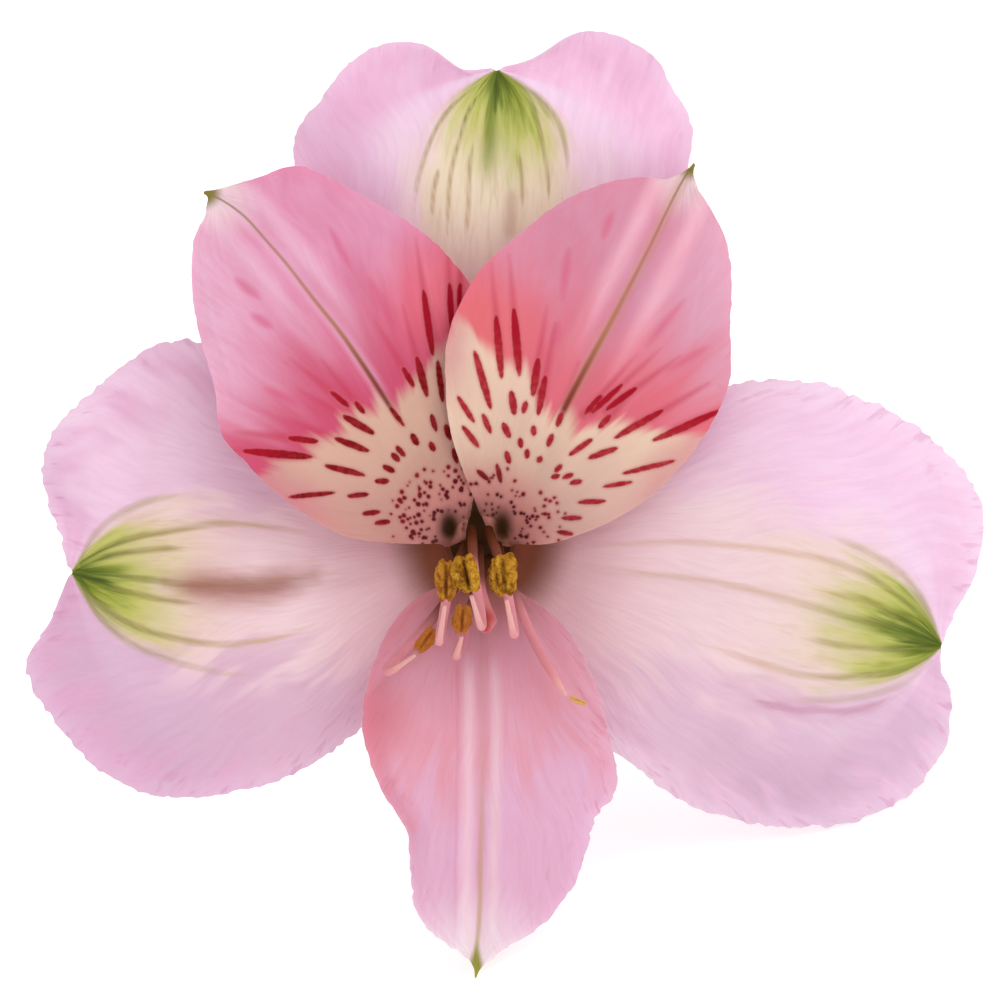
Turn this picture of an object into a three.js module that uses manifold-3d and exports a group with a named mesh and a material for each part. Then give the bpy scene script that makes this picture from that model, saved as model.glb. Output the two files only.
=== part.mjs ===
// One cut alstroemeria bloom: six tepals, six stamens, a pistil, the ribbed ovary and a short stalk.
// Millimetres. Each piece is first built with the bloom facing +Z and its top tepal along +Y, with the
// flower's axis on x = y = 0 and the tepals' rims near z = 0. The whole is then laid down to rest on
// the tip of its bottom tepal, the low lobe of its right tepal and the end of its stalk.
import * as THREE from 'three';
import { mergeVertices } from 'three/addons/utils/BufferGeometryUtils.js';
import Module from 'manifold-3d';

const wasm = await Module();
wasm.setup();

// ---- driving dimensions ----------------------------------------------------------------------

const rest = { roll: 19.46, lean: 24.56 };     // degrees, how the bloom lies

const tepal = {
  thickness: 0.65,
  baseZ: -28,               // where the claws stand on the ovary
  clawRing: 2.9,            // radius of the ring that the claws stand on
  clawHalfWidth: 1.2,
  rowsPerStation: 2,
  cellsAcross: 10,
};

// The depth of a whorl's surface at radius r: it drops by `drop` into the throat, over `fall`,
// and bends back by `reflex` beyond `reflexFrom`.
const whorls = {
  inner: { set: 0, drop: 15, fall: 7, reflex: 0.006, reflexFrom: 24 },
  outer: { set: -4.2, drop: 14, fall: 8, reflex: 0.007, reflexFrom: 27 },
};

const nectarTube = { radius: 0.95, halfAngle: 2.3, ring: 3.4 };

const filament = { diameter: 1, ring: 1.45 };
const anther = { depthShare: 0.75, groove: 0.22, seat: 0.22 };     // depthShare is depth over width
const style = { diameter: 0.9, lobe: 1.5, lobeDiameter: 0.5 };
const ovary = { top: -28, length: 8, crown: 3.5, waist: 3.0, belly: 3.9, foot: 1.5, ribs: 6, ribDepth: 0.1 };
const stalk = { diameter: 2.4, length: 58, bend: 19 };     // bend in degrees, over its whole length

// ---- the tepals' outlines --------------------------------------------------------------------
// Each row runs across a tepal, as seen from the front: left margin, midrib, right margin, with the
// tip upward. The rows go from the throat to the tip, and fan out round the lobes beside the tip.

const topRows = [
  [[-1.3, 3.5], [0.1, 3.8], [1.5, 3.5]],
  [[-4.6, 11.3], [0.8, 11.3], [6.0, 11.3]],
  [[-8.8, 19.7], [1.8, 19.0], [11.7, 19.5]],
  [[-13.0, 26.8], [2.3, 25.5], [16.1, 26.5]],
  [[-15.6, 32.0], [2.2, 30.1], [17.6, 32.2]],
  [[-15.2, 35.1], [2.0, 33.2], [17.8, 35.3]],
  [[-13.4, 37.5], [1.7, 35.4], [16.1, 38.6]],
  [[-11.2, 40.4], [1.5, 36.9], [14.9, 40.9]],
  [[-8.2, 42.2], [1.4, 37.9], [11.4, 42.9]],
  [[-4.8, 42.2], [1.4, 38.8], [8.0, 43.1]],
  [[-1.6, 40.1], [1.4, 39.3], [4.6, 41.1]],
  [[0.3, 40.0], [1.4, 39.9], [2.6, 40.2]],
];

const innerLeftRows = [
  [[-3.7, 0.4], [-2.8, 1.6], [-1.8, 2.6]],
  [[-6.7, 0.1], [-4.0, 4.6], [-0.3, 5.6]],
  [[-11.3, 0.8], [-5.5, 8.0], [0.5, 9.6]],
  [[-15.9, 3.4], [-7.4, 11.3], [0.8, 14.5]],
  [[-19.8, 7.1], [-9.5, 14.6], [0.3, 19.0]],
  [[-21.7, 9.6], [-11.7, 17.8], [-1.4, 22.6]],
  [[-22.3, 13.5], [-14.1, 20.8], [-4.4, 25.9]],
  [[-23.4, 17.3], [-16.1, 23.4], [-8.0, 28.2]],
  [[-24.1, 21.4], [-17.9, 25.5], [-12.1, 30.5]],
  [[-24.0, 25.3], [-19.6, 27.4], [-15.4, 31.8]],
  [[-23.0, 27.9], [-21.3, 28.7], [-19.2, 30.6]],
  [[-23.5, 29.1], [-23.1, 29.6], [-22.5, 30.0]],
];

const innerRightRows = [
  [[0.8, 2.6], [2.2, 1.6], [2.8, 0.3]],
  [[-1.2, 5.6], [3.9, 4.8], [6.0, 0.1]],
  [[-2.5, 9.6], [5.5, 8.0], [10.4, 1.7]],
  [[-2.9, 13.4], [7.2, 11.7], [14.3, 4.1]],
  [[-2.5, 18.2], [9.2, 15.5], [18.2, 8.3]],
  [[0.0, 22.9], [11.0, 18.8], [20.8, 13.3]],
  [[3.5, 26.2], [12.7, 22.0], [21.0, 18.5]],
  [[7.0, 28.8], [14.2, 25.0], [21.0, 23.0]],
  [[10.5, 30.3], [15.4, 27.5], [20.2, 26.5]],
  [[13.4, 30.8], [16.2, 29.1], [18.9, 28.9]],
  [[15.7, 30.7], [16.9, 30.4], [18.1, 30.2]],
  [[17.5, 31.9], [17.9, 32.0], [18.3, 31.7]],
];

const leftRows = [
  [[-2.0, -2.7], [-3.0, -1.6], [-3.3, -0.2]],
  [[-4.0, -7.6], [-7.4, -2.4], [-8.0, 3.8]],
  [[-7.0, -12.1], [-11.7, -2.9], [-13.6, 9.1]],
  [[-10.9, -16.2], [-15.9, -3.2], [-18.2, 14.3]],
  [[-15.7, -19.3], [-19.7, -3.3], [-23.0, 17.1]],
  [[-21.3, -20.9], [-23.0, -3.5], [-28.1, 16.4]],
  [[-26.8, -21.1], [-25.8, -3.4], [-32.0, 13.3]],
  [[-32.2, -18.9], [-28.0, -3.1], [-35.7, 9.9]],
  [[-35.6, -15.1], [-30.0, -2.6], [-36.8, 6.6]],
  [[-38.1, -10.5], [-31.6, -2.3], [-36.3, 3.6]],
  [[-36.0, -6.1], [-33.0, -2.3], [-35.3, 0.8]],
  [[-34.5, -3.2], [-34.3, -2.3], [-34.5, -1.3]],
];

const rightRows = [
  [[3.3, -0.2], [3.0, -1.6], [2.0, -2.7]],
  [[8.2, 3.9], [7.5, -2.0], [5.0, -8.0]],
  [[13.4, 8.8], [12.6, -2.7], [8.7, -14.1]],
  [[18.4, 12.5], [17.6, -3.5], [13.0, -18.7]],
  [[23.8, 13.9], [22.2, -4.1], [18.2, -22.2]],
  [[29.0, 13.5], [26.1, -4.9], [23.9, -23.6]],
  [[34.0, 11.6], [29.5, -5.9], [29.7, -23.6]],
  [[38.9, 8.3], [32.0, -6.5], [35.2, -21.7]],
  [[42.2, 3.2], [34.1, -7.1], [38.9, -17.8]],
  [[41.7, -2.4], [36.0, -7.6], [39.8, -13.3]],
  [[39.9, -6.0], [37.5, -8.1], [38.8, -10.6]],
  [[39.0, -7.7], [38.8, -8.5], [38.7, -9.4]],
];

const bottomRows = [
  [[1.3, -2.9], [0.0, -3.2], [-1.3, -2.9]],
  [[5.0, -5.1], [0.0, -6.1], [-5.5, -4.6]],
  [[7.5, -7.3], [0.1, -9.5], [-8.2, -8.0]],
  [[9.2, -10.6], [0.2, -13.0], [-9.5, -12.0]],
  [[10.5, -14.6], [0.2, -16.7], [-9.8, -15.9]],
  [[11.5, -19.5], [0.1, -20.3], [-8.4, -20.2]],
  [[9.8, -22.8], [0.1, -23.7], [-6.3, -23.9]],
  [[8.9, -25.8], [0.0, -26.7], [-5.8, -27.5]],
  [[7.5, -29.0], [0.0, -29.4], [-5.4, -30.9]],
  [[5.0, -31.9], [-0.1, -31.7], [-3.2, -33.2]],
  [[1.7, -34.1], [-0.3, -33.9], [-1.3, -34.4]],
  [[0.2, -35.8], [-0.4, -36.3], [-0.8, -35.8]],
];

// clawAngle is where a tepal's claw stands round the ovary. tilt lifts the right margin and lowers the
// left one. wave is the height of the margin's ruffle, with so many waves along it.
const tepals = [
  { name: 'outer_tepal_top', rows: topRows, whorl: whorls.outer, clawAngle: 90,
    wave: 0.9, waves: 2.6, phase: 0.4, colour: '#e8c6da' },
  { name: 'outer_tepal_left', rows: leftRows, whorl: whorls.outer, clawAngle: 210,
    wave: 0.9, waves: 2.8, phase: 1.7, colour: '#e8c6da' },
  { name: 'outer_tepal_right', rows: rightRows, whorl: whorls.outer, clawAngle: 330,
    wave: 0.9, waves: 2.5, phase: 2.9, colour: '#e8c6da' },
  { name: 'inner_tepal_left', rows: innerLeftRows, whorl: whorls.inner, clawAngle: 150, rolled: true,
    tilt: -1.3, wave: 0.5, waves: 3, phase: 0.8, colour: '#df8fac' },
  { name: 'inner_tepal_right', rows: innerRightRows, whorl: whorls.inner, clawAngle: 30, rolled: true,
    tilt: -1.3, wave: 0.5, waves: 3, phase: 2.1, colour: '#df8fac' },
  { name: 'inner_tepal_bottom', rows: bottomRows, whorl: whorls.inner, clawAngle: 270,
    wave: 0.5, waves: 2.4, phase: 0, colour: '#e0a4bd' },
];

// Each stamen: where its filament stands round the ovary, the points along it in front of the throat,
// and its anther's length, width and far end. The sixth anther is spent and small.
const stamens = [
  { footAngle: 180, path: [[-1.4, -0.4, -13], [-2.5, -3.2, -4], [-3.1, -6.2, 1.4], [-3.4, -8.1, 3.8],
    [-2.9, -5.0, 7.0]], antherEnd: [-3.1, -1.3, 8.2], length: 3.9, width: 2.1 },
  { footAngle: 120, path: [[-0.7, 0.9, -13], [-0.5, -2.2, -4], [0.1, -6.0, 2.2], [0.1, -6.8, 4.6],
    [-0.7, -4.2, 8.4]], antherEnd: [-1.4, -0.6, 9.6], length: 3.6, width: 2.3 },
  { footAngle: 60, path: [[0.8, 0.9, -13], [2.0, -2.6, -4], [2.8, -6.9, 2], [2.8, -7.4, 4.4],
    [2.2, -4.5, 7.2]], antherEnd: [1.9, -0.6, 8.4], length: 3.9, width: 2.4 },
  { footAngle: 300, path: [[0.6, -1.6, -13], [-0.7, -5.0, -6.4], [-1.8, -8.8, -1.4], [-2.0, -9.3, 0.8],
    [-1.5, -7.6, 2.8]], antherEnd: [-1.5, -5.0, 4.2], length: 2.9, width: 1.6 },
  { footAngle: 240, path: [[-0.9, -1.6, -13], [-4.2, -5.8, -6], [-7.9, -10.2, -1.4], [-7.5, -10.6, 0.4],
    [-5.4, -9.2, 0.5]], antherEnd: [-3.8, -6.9, -0.2], length: 2.7, width: 1.3 },
  { footAngle: 0, path: [[1.6, -0.6, -13], [2.9, -4.2, -6], [4.6, -8.2, -1.6], [6.2, -11, 0.2],
    [7.2, -12.6, 0.6]], antherEnd: [8.6, -13.2, 0.3], length: 1.8, width: 0.8 },
];

const stylePath = [[0, 0, -20], [0, -0.3, -13], [0.4, -3, -6], [0.7, -5.4, -1.8], [0.8, -6.9, 0.4]];

// ---- helpers ---------------------------------------------------------------------------------

const polar = (radius, degrees) => {
  const angle = THREE.MathUtils.degToRad(degrees);
  return new THREE.Vector2(radius * Math.cos(angle), radius * Math.sin(angle));
};

const smooth = THREE.MathUtils.smoothstep;

// Catmull-Rom through a list of numbers, at the fractional index u.
function splineAt(values, u) {
  const i = Math.min(Math.floor(u), values.length - 2);
  const f = u - i;
  const at = (k) => {
    if (k < 0) return 2 * values[0] - values[1];
    if (k >= values.length) return 2 * values[values.length - 1] - values[values.length - 2];
    return values[k];
  };
  const [a, b, c, d] = [at(i - 1), at(i), at(i + 1), at(i + 2)];
  return b + 0.5 * f * (c - a + f * (2 * a - 5 * b + 4 * c - d + f * (3 * (b - c) + d - a)));
}

// A closed mesh from a grid of points on two faces: front[row][column] and back[row][column]. The cells'
// diagonals lean outward from the middle column, alike on both faces.
function slab(front, back) {
  const rows = front.length;
  const columns = front[0].length;
  const positions = [...front.flat(), ...back.flat()].flatMap((p) => p.toArray());
  const f = (i, j) => i * columns + j;
  const b = (i, j) => rows * columns + f(i, j);
  const index = [];
  const quad = (p, q, r, s) => index.push(p, q, r, p, r, s);
  for (let i = 0; i < rows - 1; i++) {
    for (let j = 0; j < columns - 1; j++) {
      const turn = j < (columns - 1) / 2 ? 1 : 0;
      const corners = [[i, j], [i, j + 1], [i + 1, j + 1], [i + 1, j]];
      const [p, q, r, s] = [0, 1, 2, 3].map((k) => corners[(k + turn) % 4]);
      quad(f(...p), f(...q), f(...r), f(...s));
      quad(b(...p), b(...s), b(...r), b(...q));
    }
    quad(f(i, 0), f(i + 1, 0), b(i + 1, 0), b(i, 0));
    quad(f(i + 1, columns - 1), f(i, columns - 1), b(i, columns - 1), b(i + 1, columns - 1));
  }
  for (let j = 0; j < columns - 1; j++) {
    quad(f(0, j + 1), f(0, j), b(0, j), b(0, j + 1));
    quad(f(rows - 1, j), f(rows - 1, j + 1), b(rows - 1, j + 1), b(rows - 1, j));
  }
  const geometry = new THREE.BufferGeometry();
  geometry.setAttribute('position', new THREE.Float32BufferAttribute(positions, 3));
  geometry.setIndex(index);
  return geometry;
}

// A round rod along a curve.
function rod(curve, diameter, steps, sides = 8) {
  const section = new THREE.Shape();
  section.absarc(0, 0, diameter / 2, 0, 2 * Math.PI);
  return new THREE.ExtrudeGeometry(section, { extrudePath: curve, steps, curveSegments: sides / 2 });
}

const curveThrough = (points) => new THREE.CatmullRomCurve3(points.map((p) => new THREE.Vector3(...p)));

function toSolid(geometry) {
  const bare = geometry.clone();
  bare.deleteAttribute('normal');
  bare.deleteAttribute('uv');
  const merged = mergeVertices(bare, 1e-4);
  return new wasm.Manifold(new wasm.Mesh({
    numProp: 3,
    vertProperties: new Float32Array(merged.attributes.position.array),
    triVerts: new Uint32Array(merged.index.array),
  }));
}

function fromSolid(solid) {
  const mesh = solid.getMesh();
  const geometry = new THREE.BufferGeometry();
  geometry.setAttribute('position', new THREE.BufferAttribute(mesh.vertProperties, 3));
  geometry.setIndex(new THREE.BufferAttribute(mesh.triVerts, 1));
  return geometry;
}

// ---- tepals ----------------------------------------------------------------------------------

const clawStations = 4;

const depthAt = (whorl, radius) => {
  const bend = Math.max(0, radius - whorl.reflexFrom);
  return whorl.set - whorl.drop * Math.exp(-(radius - 3) / whorl.fall) - whorl.reflex * bend * bend;
};

// All stations of a tepal from the ovary to the tip, as the three spots of each row with their depth.
function stationsOf(spec) {
  const foot = polar(tepal.clawRing, spec.clawAngle);
  const along = foot.clone().normalize();
  const clockwise = new THREE.Vector2(along.y, -along.x);
  const [throatLeft, throatMid, throatRight] = spec.rows[0];
  const throatZ = depthAt(spec.whorl, Math.hypot(...throatMid));
  const claws = [];
  for (let k = 0; k < clawStations; k++) {
    const share = k / clawStations;
    const side = tepal.clawHalfWidth;
    const inset = side * side / (2 * tepal.clawRing);
    const left = foot.clone().addScaledVector(clockwise, -side).addScaledVector(along, -inset);
    const right = foot.clone().addScaledVector(clockwise, side).addScaledVector(along, -inset);
    const turn = smooth(share, 0.2, 1);
    const blend = (from, to) => from.clone().lerp(new THREE.Vector2(...to), turn).toArray();
    claws.push({
      spots: [blend(left, throatLeft), blend(foot, throatMid), blend(right, throatRight)],
      z: THREE.MathUtils.lerp(tepal.baseZ, throatZ, share),
    });
  }
  return [...claws, ...spec.rows.map((spots) => ({ spots, z: null }))];
}

// A point of a tepal's middle surface: u counts stations from the ovary, t goes from -1 to 1 across.
function makeSurface(spec) {
  const stations = stationsOf(spec);
  const track = (spot, axis) => stations.map((station) => station.spots[spot][axis]);
  const tracks = [0, 1, 2].map((spot) => [track(spot, 0), track(spot, 1)]);
  const midZ = stations.map((s) => s.z ?? depthAt(spec.whorl, Math.hypot(...s.spots[1])));

  const planAt = (u, t) => [0, 1].map((axis) => {
    const [left, mid, right] = tracks.map((pair) => splineAt(pair[axis], u));
    return mid + 0.5 * (right - left) * t + (0.5 * (right + left) - mid) * t * t;
  });

  const centre = (u) => {
    const [x, y] = planAt(u, 0);
    return new THREE.Vector3(x, y, splineAt(midZ, u));
  };

  // the claw of an upper inner tepal, rolled round its nectar channel
  const rolledAt = (u, t) => {
    const middle = centre(u);
    const tangent = centre(u + 0.05).sub(centre(u - 0.05)).normalize();
    const outward = new THREE.Vector3(middle.x, middle.y, 0).normalize();
    const inward = new THREE.Vector3(0, 0, 1).sub(outward);
    inward.addScaledVector(tangent, -inward.dot(tangent)).normalize();
    const across = new THREE.Vector3().crossVectors(tangent, inward);
    const angle = t * nectarTube.halfAngle;
    const bulge = nectarTube.ring + nectarTube.radius - Math.hypot(middle.x, middle.y);
    return middle
      .addScaledVector(outward, bulge * smooth(u, 0.5, 2) * (1 - smooth(u, 4, 5)))
      .addScaledVector(across, nectarTube.radius * Math.sin(angle))
      .addScaledVector(inward, nectarTube.radius * (1 - Math.cos(angle)));
  };

  return (u, t) => {
    const [x, y] = planAt(u, t);
    const blade = smooth(u, clawStations - 1, clawStations + 0.5);
    const share = Math.max(0, (u - clawStations) / (stations.length - 1 - clawStations));
    const edge = Math.abs(t) ** 3 * smooth(share, 0.1, 0.4) * (1 - smooth(share, 0.85, 1));
    const ruffle = spec.wave * edge * Math.sin(2 * Math.PI * spec.waves * share + spec.phase + 2 * t);
    const lift = (spec.tilt ?? 0) * t * smooth(share, 0.02, 0.15) * (1 - smooth(share, 0.6, 0.9));
    const open = depthAt(spec.whorl, Math.max(Math.hypot(x, y), 2.6)) + ruffle + lift;
    const point = new THREE.Vector3(x, y, THREE.MathUtils.lerp(splineAt(midZ, u), open, blade));
    if (!spec.rolled) return point;
    const roll = smooth(u, 0.4, 1.8) * (1 - smooth(u, 4.1, 5.2));
    return roll > 0 ? point.lerp(rolledAt(u, t), roll) : point;
  };
}

function tepalGeometry(spec) {
  const surface = makeSurface(spec);
  const last = clawStations + spec.rows.length - 1;
  const rowCount = last * tepal.rowsPerStation;
  const step = 0.02;
  const normalAt = (u, t) => {
    const along = surface(Math.min(u + step, last), t).sub(surface(Math.max(u - step, 0), t));
    const across = surface(u, Math.min(t + step, 1)).sub(surface(u, Math.max(t - step, -1)));
    return across.cross(along).normalize();
  };
  const front = [];
  const back = [];
  for (let i = 0; i <= rowCount; i++) {
    const u = i / tepal.rowsPerStation;
    front.push([]);
    back.push([]);
    for (let j = 0; j <= tepal.cellsAcross; j++) {
      const t = 2 * j / tepal.cellsAcross - 1;
      const point = surface(u, t);
      const normal = normalAt(u, t).lerp(normalAt(u, 0), smooth(u, last - 3, last - 1));  // a flat tip
      if (i === 0) normal.z = 0;            // the claw stands square on the ovary
      normal.normalize();
      front[i].push(point.clone().addScaledVector(normal, tepal.thickness / 2));
      back[i].push(point.clone().addScaledVector(normal, -tepal.thickness / 2));
    }
  }
  return slab(front, back);
}

// ---- stamens and pistil ----------------------------------------------------------------------

// The filaments stand between the claws, and leave the throat on its lower side.
function filamentGeometry(spec) {
  const foot = polar(filament.ring, spec.footAngle);
  const start = [[foot.x, foot.y, ovary.top], [foot.x, foot.y, ovary.top + 8]];
  return rod(curveThrough([...start, ...spec.path]), filament.diameter, 22);
}

// Two pollen sacs side by side with a groove between them, on both faces.
function antherGeometry(spec) {
  const depth = spec.width * anther.depthShare;
  const geometry = new THREE.SphereGeometry(1, 12, 9);
  const spots = geometry.attributes.position;
  for (let i = 0; i < spots.count; i++) {
    const [x, y, z] = [spots.getX(i), spots.getY(i), spots.getZ(i)];
    const groove = 1 - anther.groove * Math.exp(-((x / 0.35) ** 2));
    const blunt = Math.cbrt(1 - Math.abs(y) ** 3) / Math.max(Math.sqrt(1 - y * y), 0.01);
    spots.setXYZ(i, x * blunt * spec.width / 2, y * spec.length / 2, z * blunt * groove * depth / 2);
  }
  return geometry;
}

// The anther stands on the end of its filament, a hair's breadth clear of it.
function placeAnther(mesh, spec) {
  const foot = new THREE.Vector3(...spec.path.at(-1));
  const axis = new THREE.Vector3(...spec.antherEnd).sub(foot).normalize();
  mesh.quaternion.setFromUnitVectors(new THREE.Vector3(0, 1, 0), axis);
  mesh.position.copy(foot).addScaledVector(axis, spec.length / 2 + anther.seat);
}

// The style, with three short stigma lobes at its end.
function pistilGeometry() {
  const curve = curveThrough([[0, 0, ovary.top], ...stylePath]);
  const end = curve.getPoint(1);
  const heading = curve.getTangent(1);
  const side = new THREE.Vector3(1, 0, 0).addScaledVector(heading, -heading.x).normalize();
  const root = end.clone().addScaledVector(heading, -style.diameter / 2);
  let solid = toSolid(rod(curve, style.diameter, 22));
  for (let k = 0; k < 3; k++) {
    const out = side.clone().applyAxisAngle(heading, k * 2 * Math.PI / 3 + Math.PI / 2);
    const knee = end.clone().addScaledVector(heading, style.lobe * 0.4).addScaledVector(out, style.lobe * 0.15);
    const tip = end.clone().addScaledVector(heading, style.lobe * 0.8).addScaledVector(out, style.lobe * 0.6);
    const lobe = new THREE.CatmullRomCurve3([root, knee, tip]);
    solid = solid.add(toSolid(rod(lobe, style.lobeDiameter, 4, 6)));
  }
  return fromSolid(solid);
}

// ---- ovary and stalk -------------------------------------------------------------------------

function ovaryGeometry() {
  const { length, crown, waist, belly, foot, ribs, ribDepth } = ovary;
  const profile = [
    [0, 0], [foot, 0], [foot * 1.5, length * 0.08], [belly * 0.86, length * 0.28], [belly, length * 0.5],
    [belly * 0.92, length * 0.72], [waist, length * 0.88], [crown, length * 0.96], [crown, length], [0, length],
  ].map(([r, y]) => new THREE.Vector2(r, y));
  const geometry = new THREE.LatheGeometry(profile, 36);
  const spots = geometry.attributes.position;
  for (let i = 0; i < spots.count; i++) {
    const [x, y, z] = [spots.getX(i), spots.getY(i), spots.getZ(i)];
    const onSide = smooth(y / length, 0, 0.2) * (1 - smooth(y / length, 0.75, 0.95));
    const rib = 1 + ribDepth * onSide * Math.cos(ribs * Math.atan2(z, x));
    spots.setXYZ(i, x * rib, y, z * rib);
  }
  return geometry.rotateX(Math.PI / 2).translate(0, 0, ovary.top - length);
}

// The stalk leaves the ovary along the flower's axis, and bends evenly away from the side it lies on.
function stalkGeometry() {
  const bend = THREE.MathUtils.degToRad(stalk.bend);
  const radius = stalk.length / bend;
  const up = polar(1, 90 + rest.roll);
  const start = ovary.top - ovary.length;
  const neck = 1;           // straight, so that it stands square on the ovary
  const points = [[0, 0, start]];
  for (let k = 0; k <= 8; k++) {
    const angle = bend * k / 8;
    const rise = radius * (1 - Math.cos(angle));
    points.push([up.x * rise, up.y * rise, start - neck - radius * Math.sin(angle)]);
  }
  return rod(curveThrough(points), stalk.diameter, 14, 12);
}

// ---- the whole bloom -------------------------------------------------------------------------

const bloom = new THREE.Group();

function addPiece(name, geometry, colour, roughness) {
  const mesh = new THREE.Mesh(geometry, new THREE.MeshStandardMaterial({ color: colour, roughness, metalness: 0 }));
  mesh.name = name;
  bloom.add(mesh);
  return mesh;
}

for (const spec of tepals) addPiece(spec.name, tepalGeometry(spec), spec.colour, 0.6);
stamens.forEach((spec, index) => {
  addPiece(`filament_${index + 1}`, filamentGeometry(spec), '#dd9dac', 0.5);
  placeAnther(addPiece(`anther_${index + 1}`, antherGeometry(spec), '#a87c26', 0.9), spec);
});
addPiece('pistil', pistilGeometry(), '#e0a0ac', 0.5);
addPiece('ovary', ovaryGeometry(), '#6f8a3a', 0.6);
addPiece('pedicel', stalkGeometry(), '#7d9a48', 0.6);

// Rolled about its axis, then laid down so that it faces -Y and leans back.
const laid = new THREE.Group();
bloom.rotation.z = THREE.MathUtils.degToRad(-rest.roll);
laid.rotation.x = THREE.MathUtils.degToRad(90 - rest.lean);
laid.add(bloom);

// The origin is under the middle of the part, on the surface that it rests on.
const part = new THREE.Group();
part.add(laid);
part.updateMatrixWorld(true);
const box = new THREE.Box3().setFromObject(part, true);
const middle = box.getCenter(new THREE.Vector3());
laid.position.set(-middle.x, -middle.y, -box.min.z);

export default part;
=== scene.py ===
import math
import bpy
import numpy as np
from mathutils import Matrix, Vector
from mathutils.kdtree import KDTree


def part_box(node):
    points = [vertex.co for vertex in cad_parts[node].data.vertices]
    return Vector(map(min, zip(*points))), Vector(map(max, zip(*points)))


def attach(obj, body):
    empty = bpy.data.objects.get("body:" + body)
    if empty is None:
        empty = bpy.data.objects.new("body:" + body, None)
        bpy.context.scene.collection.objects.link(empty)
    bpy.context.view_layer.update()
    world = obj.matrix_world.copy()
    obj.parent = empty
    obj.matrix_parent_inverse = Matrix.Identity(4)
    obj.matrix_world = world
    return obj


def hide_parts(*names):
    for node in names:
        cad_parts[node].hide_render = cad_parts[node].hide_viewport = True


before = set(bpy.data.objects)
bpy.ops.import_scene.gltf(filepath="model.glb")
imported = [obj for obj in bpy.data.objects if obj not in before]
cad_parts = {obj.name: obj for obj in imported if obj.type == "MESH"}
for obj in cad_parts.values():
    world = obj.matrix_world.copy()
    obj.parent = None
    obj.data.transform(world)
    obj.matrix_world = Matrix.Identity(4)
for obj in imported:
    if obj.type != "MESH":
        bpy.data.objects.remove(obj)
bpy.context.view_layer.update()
print("frame loaded")

# The pieces are shaped in the flower's own millimetres: it faces +Z, its top petal points to +Y and
# its axis is x = y = 0. These two turns lay it down as the frame has it.
lying = {"roll": 19.46, "lean": 24.56}     # degrees
mm = 0.001
turned = np.array(Matrix.Rotation(math.radians(90 - lying["lean"]), 3, "X")
                  @ Matrix.Rotation(math.radians(-lying["roll"]), 3, "Z"))

# Where each stamen's thread stands round the ovary, the points along it in front of the throat, and
# its anther's far end and size.
stamens = [
    {"foot": 180, "path": [(-1.4, -0.4, -13), (-2.5, -3.2, -4), (-3.1, -6.2, 1.4), (-3.4, -8.1, 3.8),
                           (-2.9, -5.0, 7.0)], "end": (-2.7, -1.2, 8.2), "length": 3.9, "width": 2.1,
     "slim": 0.88, "young": 0.2},
    {"foot": 120, "path": [(-0.7, 0.9, -13), (-0.5, -2.2, -4), (0.1, -6.0, 2.2), (0.1, -6.8, 4.6),
                           (-0.7, -4.2, 8.4)], "end": (-1.4, -0.6, 9.6), "length": 3.6, "width": 2.3},
    {"foot": 60, "path": [(0.8, 0.9, -13), (2.0, -2.6, -4), (2.8, -6.9, 2), (2.8, -7.4, 4.4),
                          (2.2, -4.5, 7.2)], "end": (1.9, -0.6, 8.4), "length": 3.9, "width": 2.4},
    {"foot": 300, "path": [(0.6, -1.6, -13), (-0.7, -5.0, -6.4), (-1.8, -8.8, -1.4), (-2.0, -9.3, 0.8),
                           (-1.5, -7.6, 2.8)], "end": (-1.5, -5.0, 4.2), "length": 2.9, "width": 1.6,
     "young": 0.4},
    {"foot": 240, "path": [(-0.9, -1.6, -13), (-3.9, -6.1, -6), (-7.7, -10.3, -1.4), (-7.5, -10.6, 0.4),
                           (-5.4, -9.2, 0.5)], "end": (-3.8, -6.9, -0.2), "length": 2.7, "width": 1.3,
     "young": 0.5},
    {"foot": 0, "path": [(1.6, -0.6, -13), (2.9, -4.2, -6), (4.6, -8.2, -1.6), (6.2, -11, 0.2),
                         (7.2, -12.6, 0.6)], "end": (8.6, -13.2, 0.3), "length": 1.8, "width": 0.8,
     "slim": 0.6, "young": 1.0},
]
antherSeat = 0.22     # the gap between a thread and its anther


def antherCentre(stamen):
    foot = Vector(stamen["path"][-1])
    axis = (Vector(stamen["end"]) - foot).normalized()
    return foot + axis * (stamen["length"] / 2 + antherSeat), axis


def frameShift():
    shifts = []
    for number, stamen in enumerate(stamens, 1):
        low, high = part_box(f"anther_{number}")
        local = np.array(antherCentre(stamen)[0]) * mm
        shifts.append(np.array((low + high) / 2) - turned @ local)
    return np.mean(shifts, axis=0)


shift = frameShift()


def toWorld(points):
    return (np.asarray(points, dtype=float) * mm) @ turned.T + shift


studio = {
    "target": (1.67, 3.77, 0),      # mm, the middle of the picture on the bloom
    "distance": 900,
    "viewWidth": 83.7,              # mm across the picture
    "sensor": 36,
    "floorSize": 8,
    "floorGlow": 0.35,              # keeps the bloom's shadow faint
    "skyStrength": 0.88,
    "keySize": 2.4,
    "keyPower": 13.0,
    "keyPlace": (1.1, -0.7, 1.3),
    "paintGain": 0.825,             # paint's share of the brightness that it shows under these lights
}


def makeCamera():
    data = bpy.data.cameras.new("camera")
    data.sensor_width = studio["sensor"]
    data.lens = studio["sensor"] * studio["distance"] / studio["viewWidth"]
    data.clip_start = 0.01
    data.clip_end = 50
    camera = bpy.data.objects.new("camera", data)
    x, y, z = studio["target"]
    place = toWorld([(x, y, z + studio["distance"])])[0]
    camera.matrix_world = Matrix.Translation(place) @ Matrix(turned.tolist()).to_4x4()
    bpy.context.scene.collection.objects.link(camera)
    bpy.context.scene.camera = camera


makeCamera()
print("camera placed")


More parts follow.
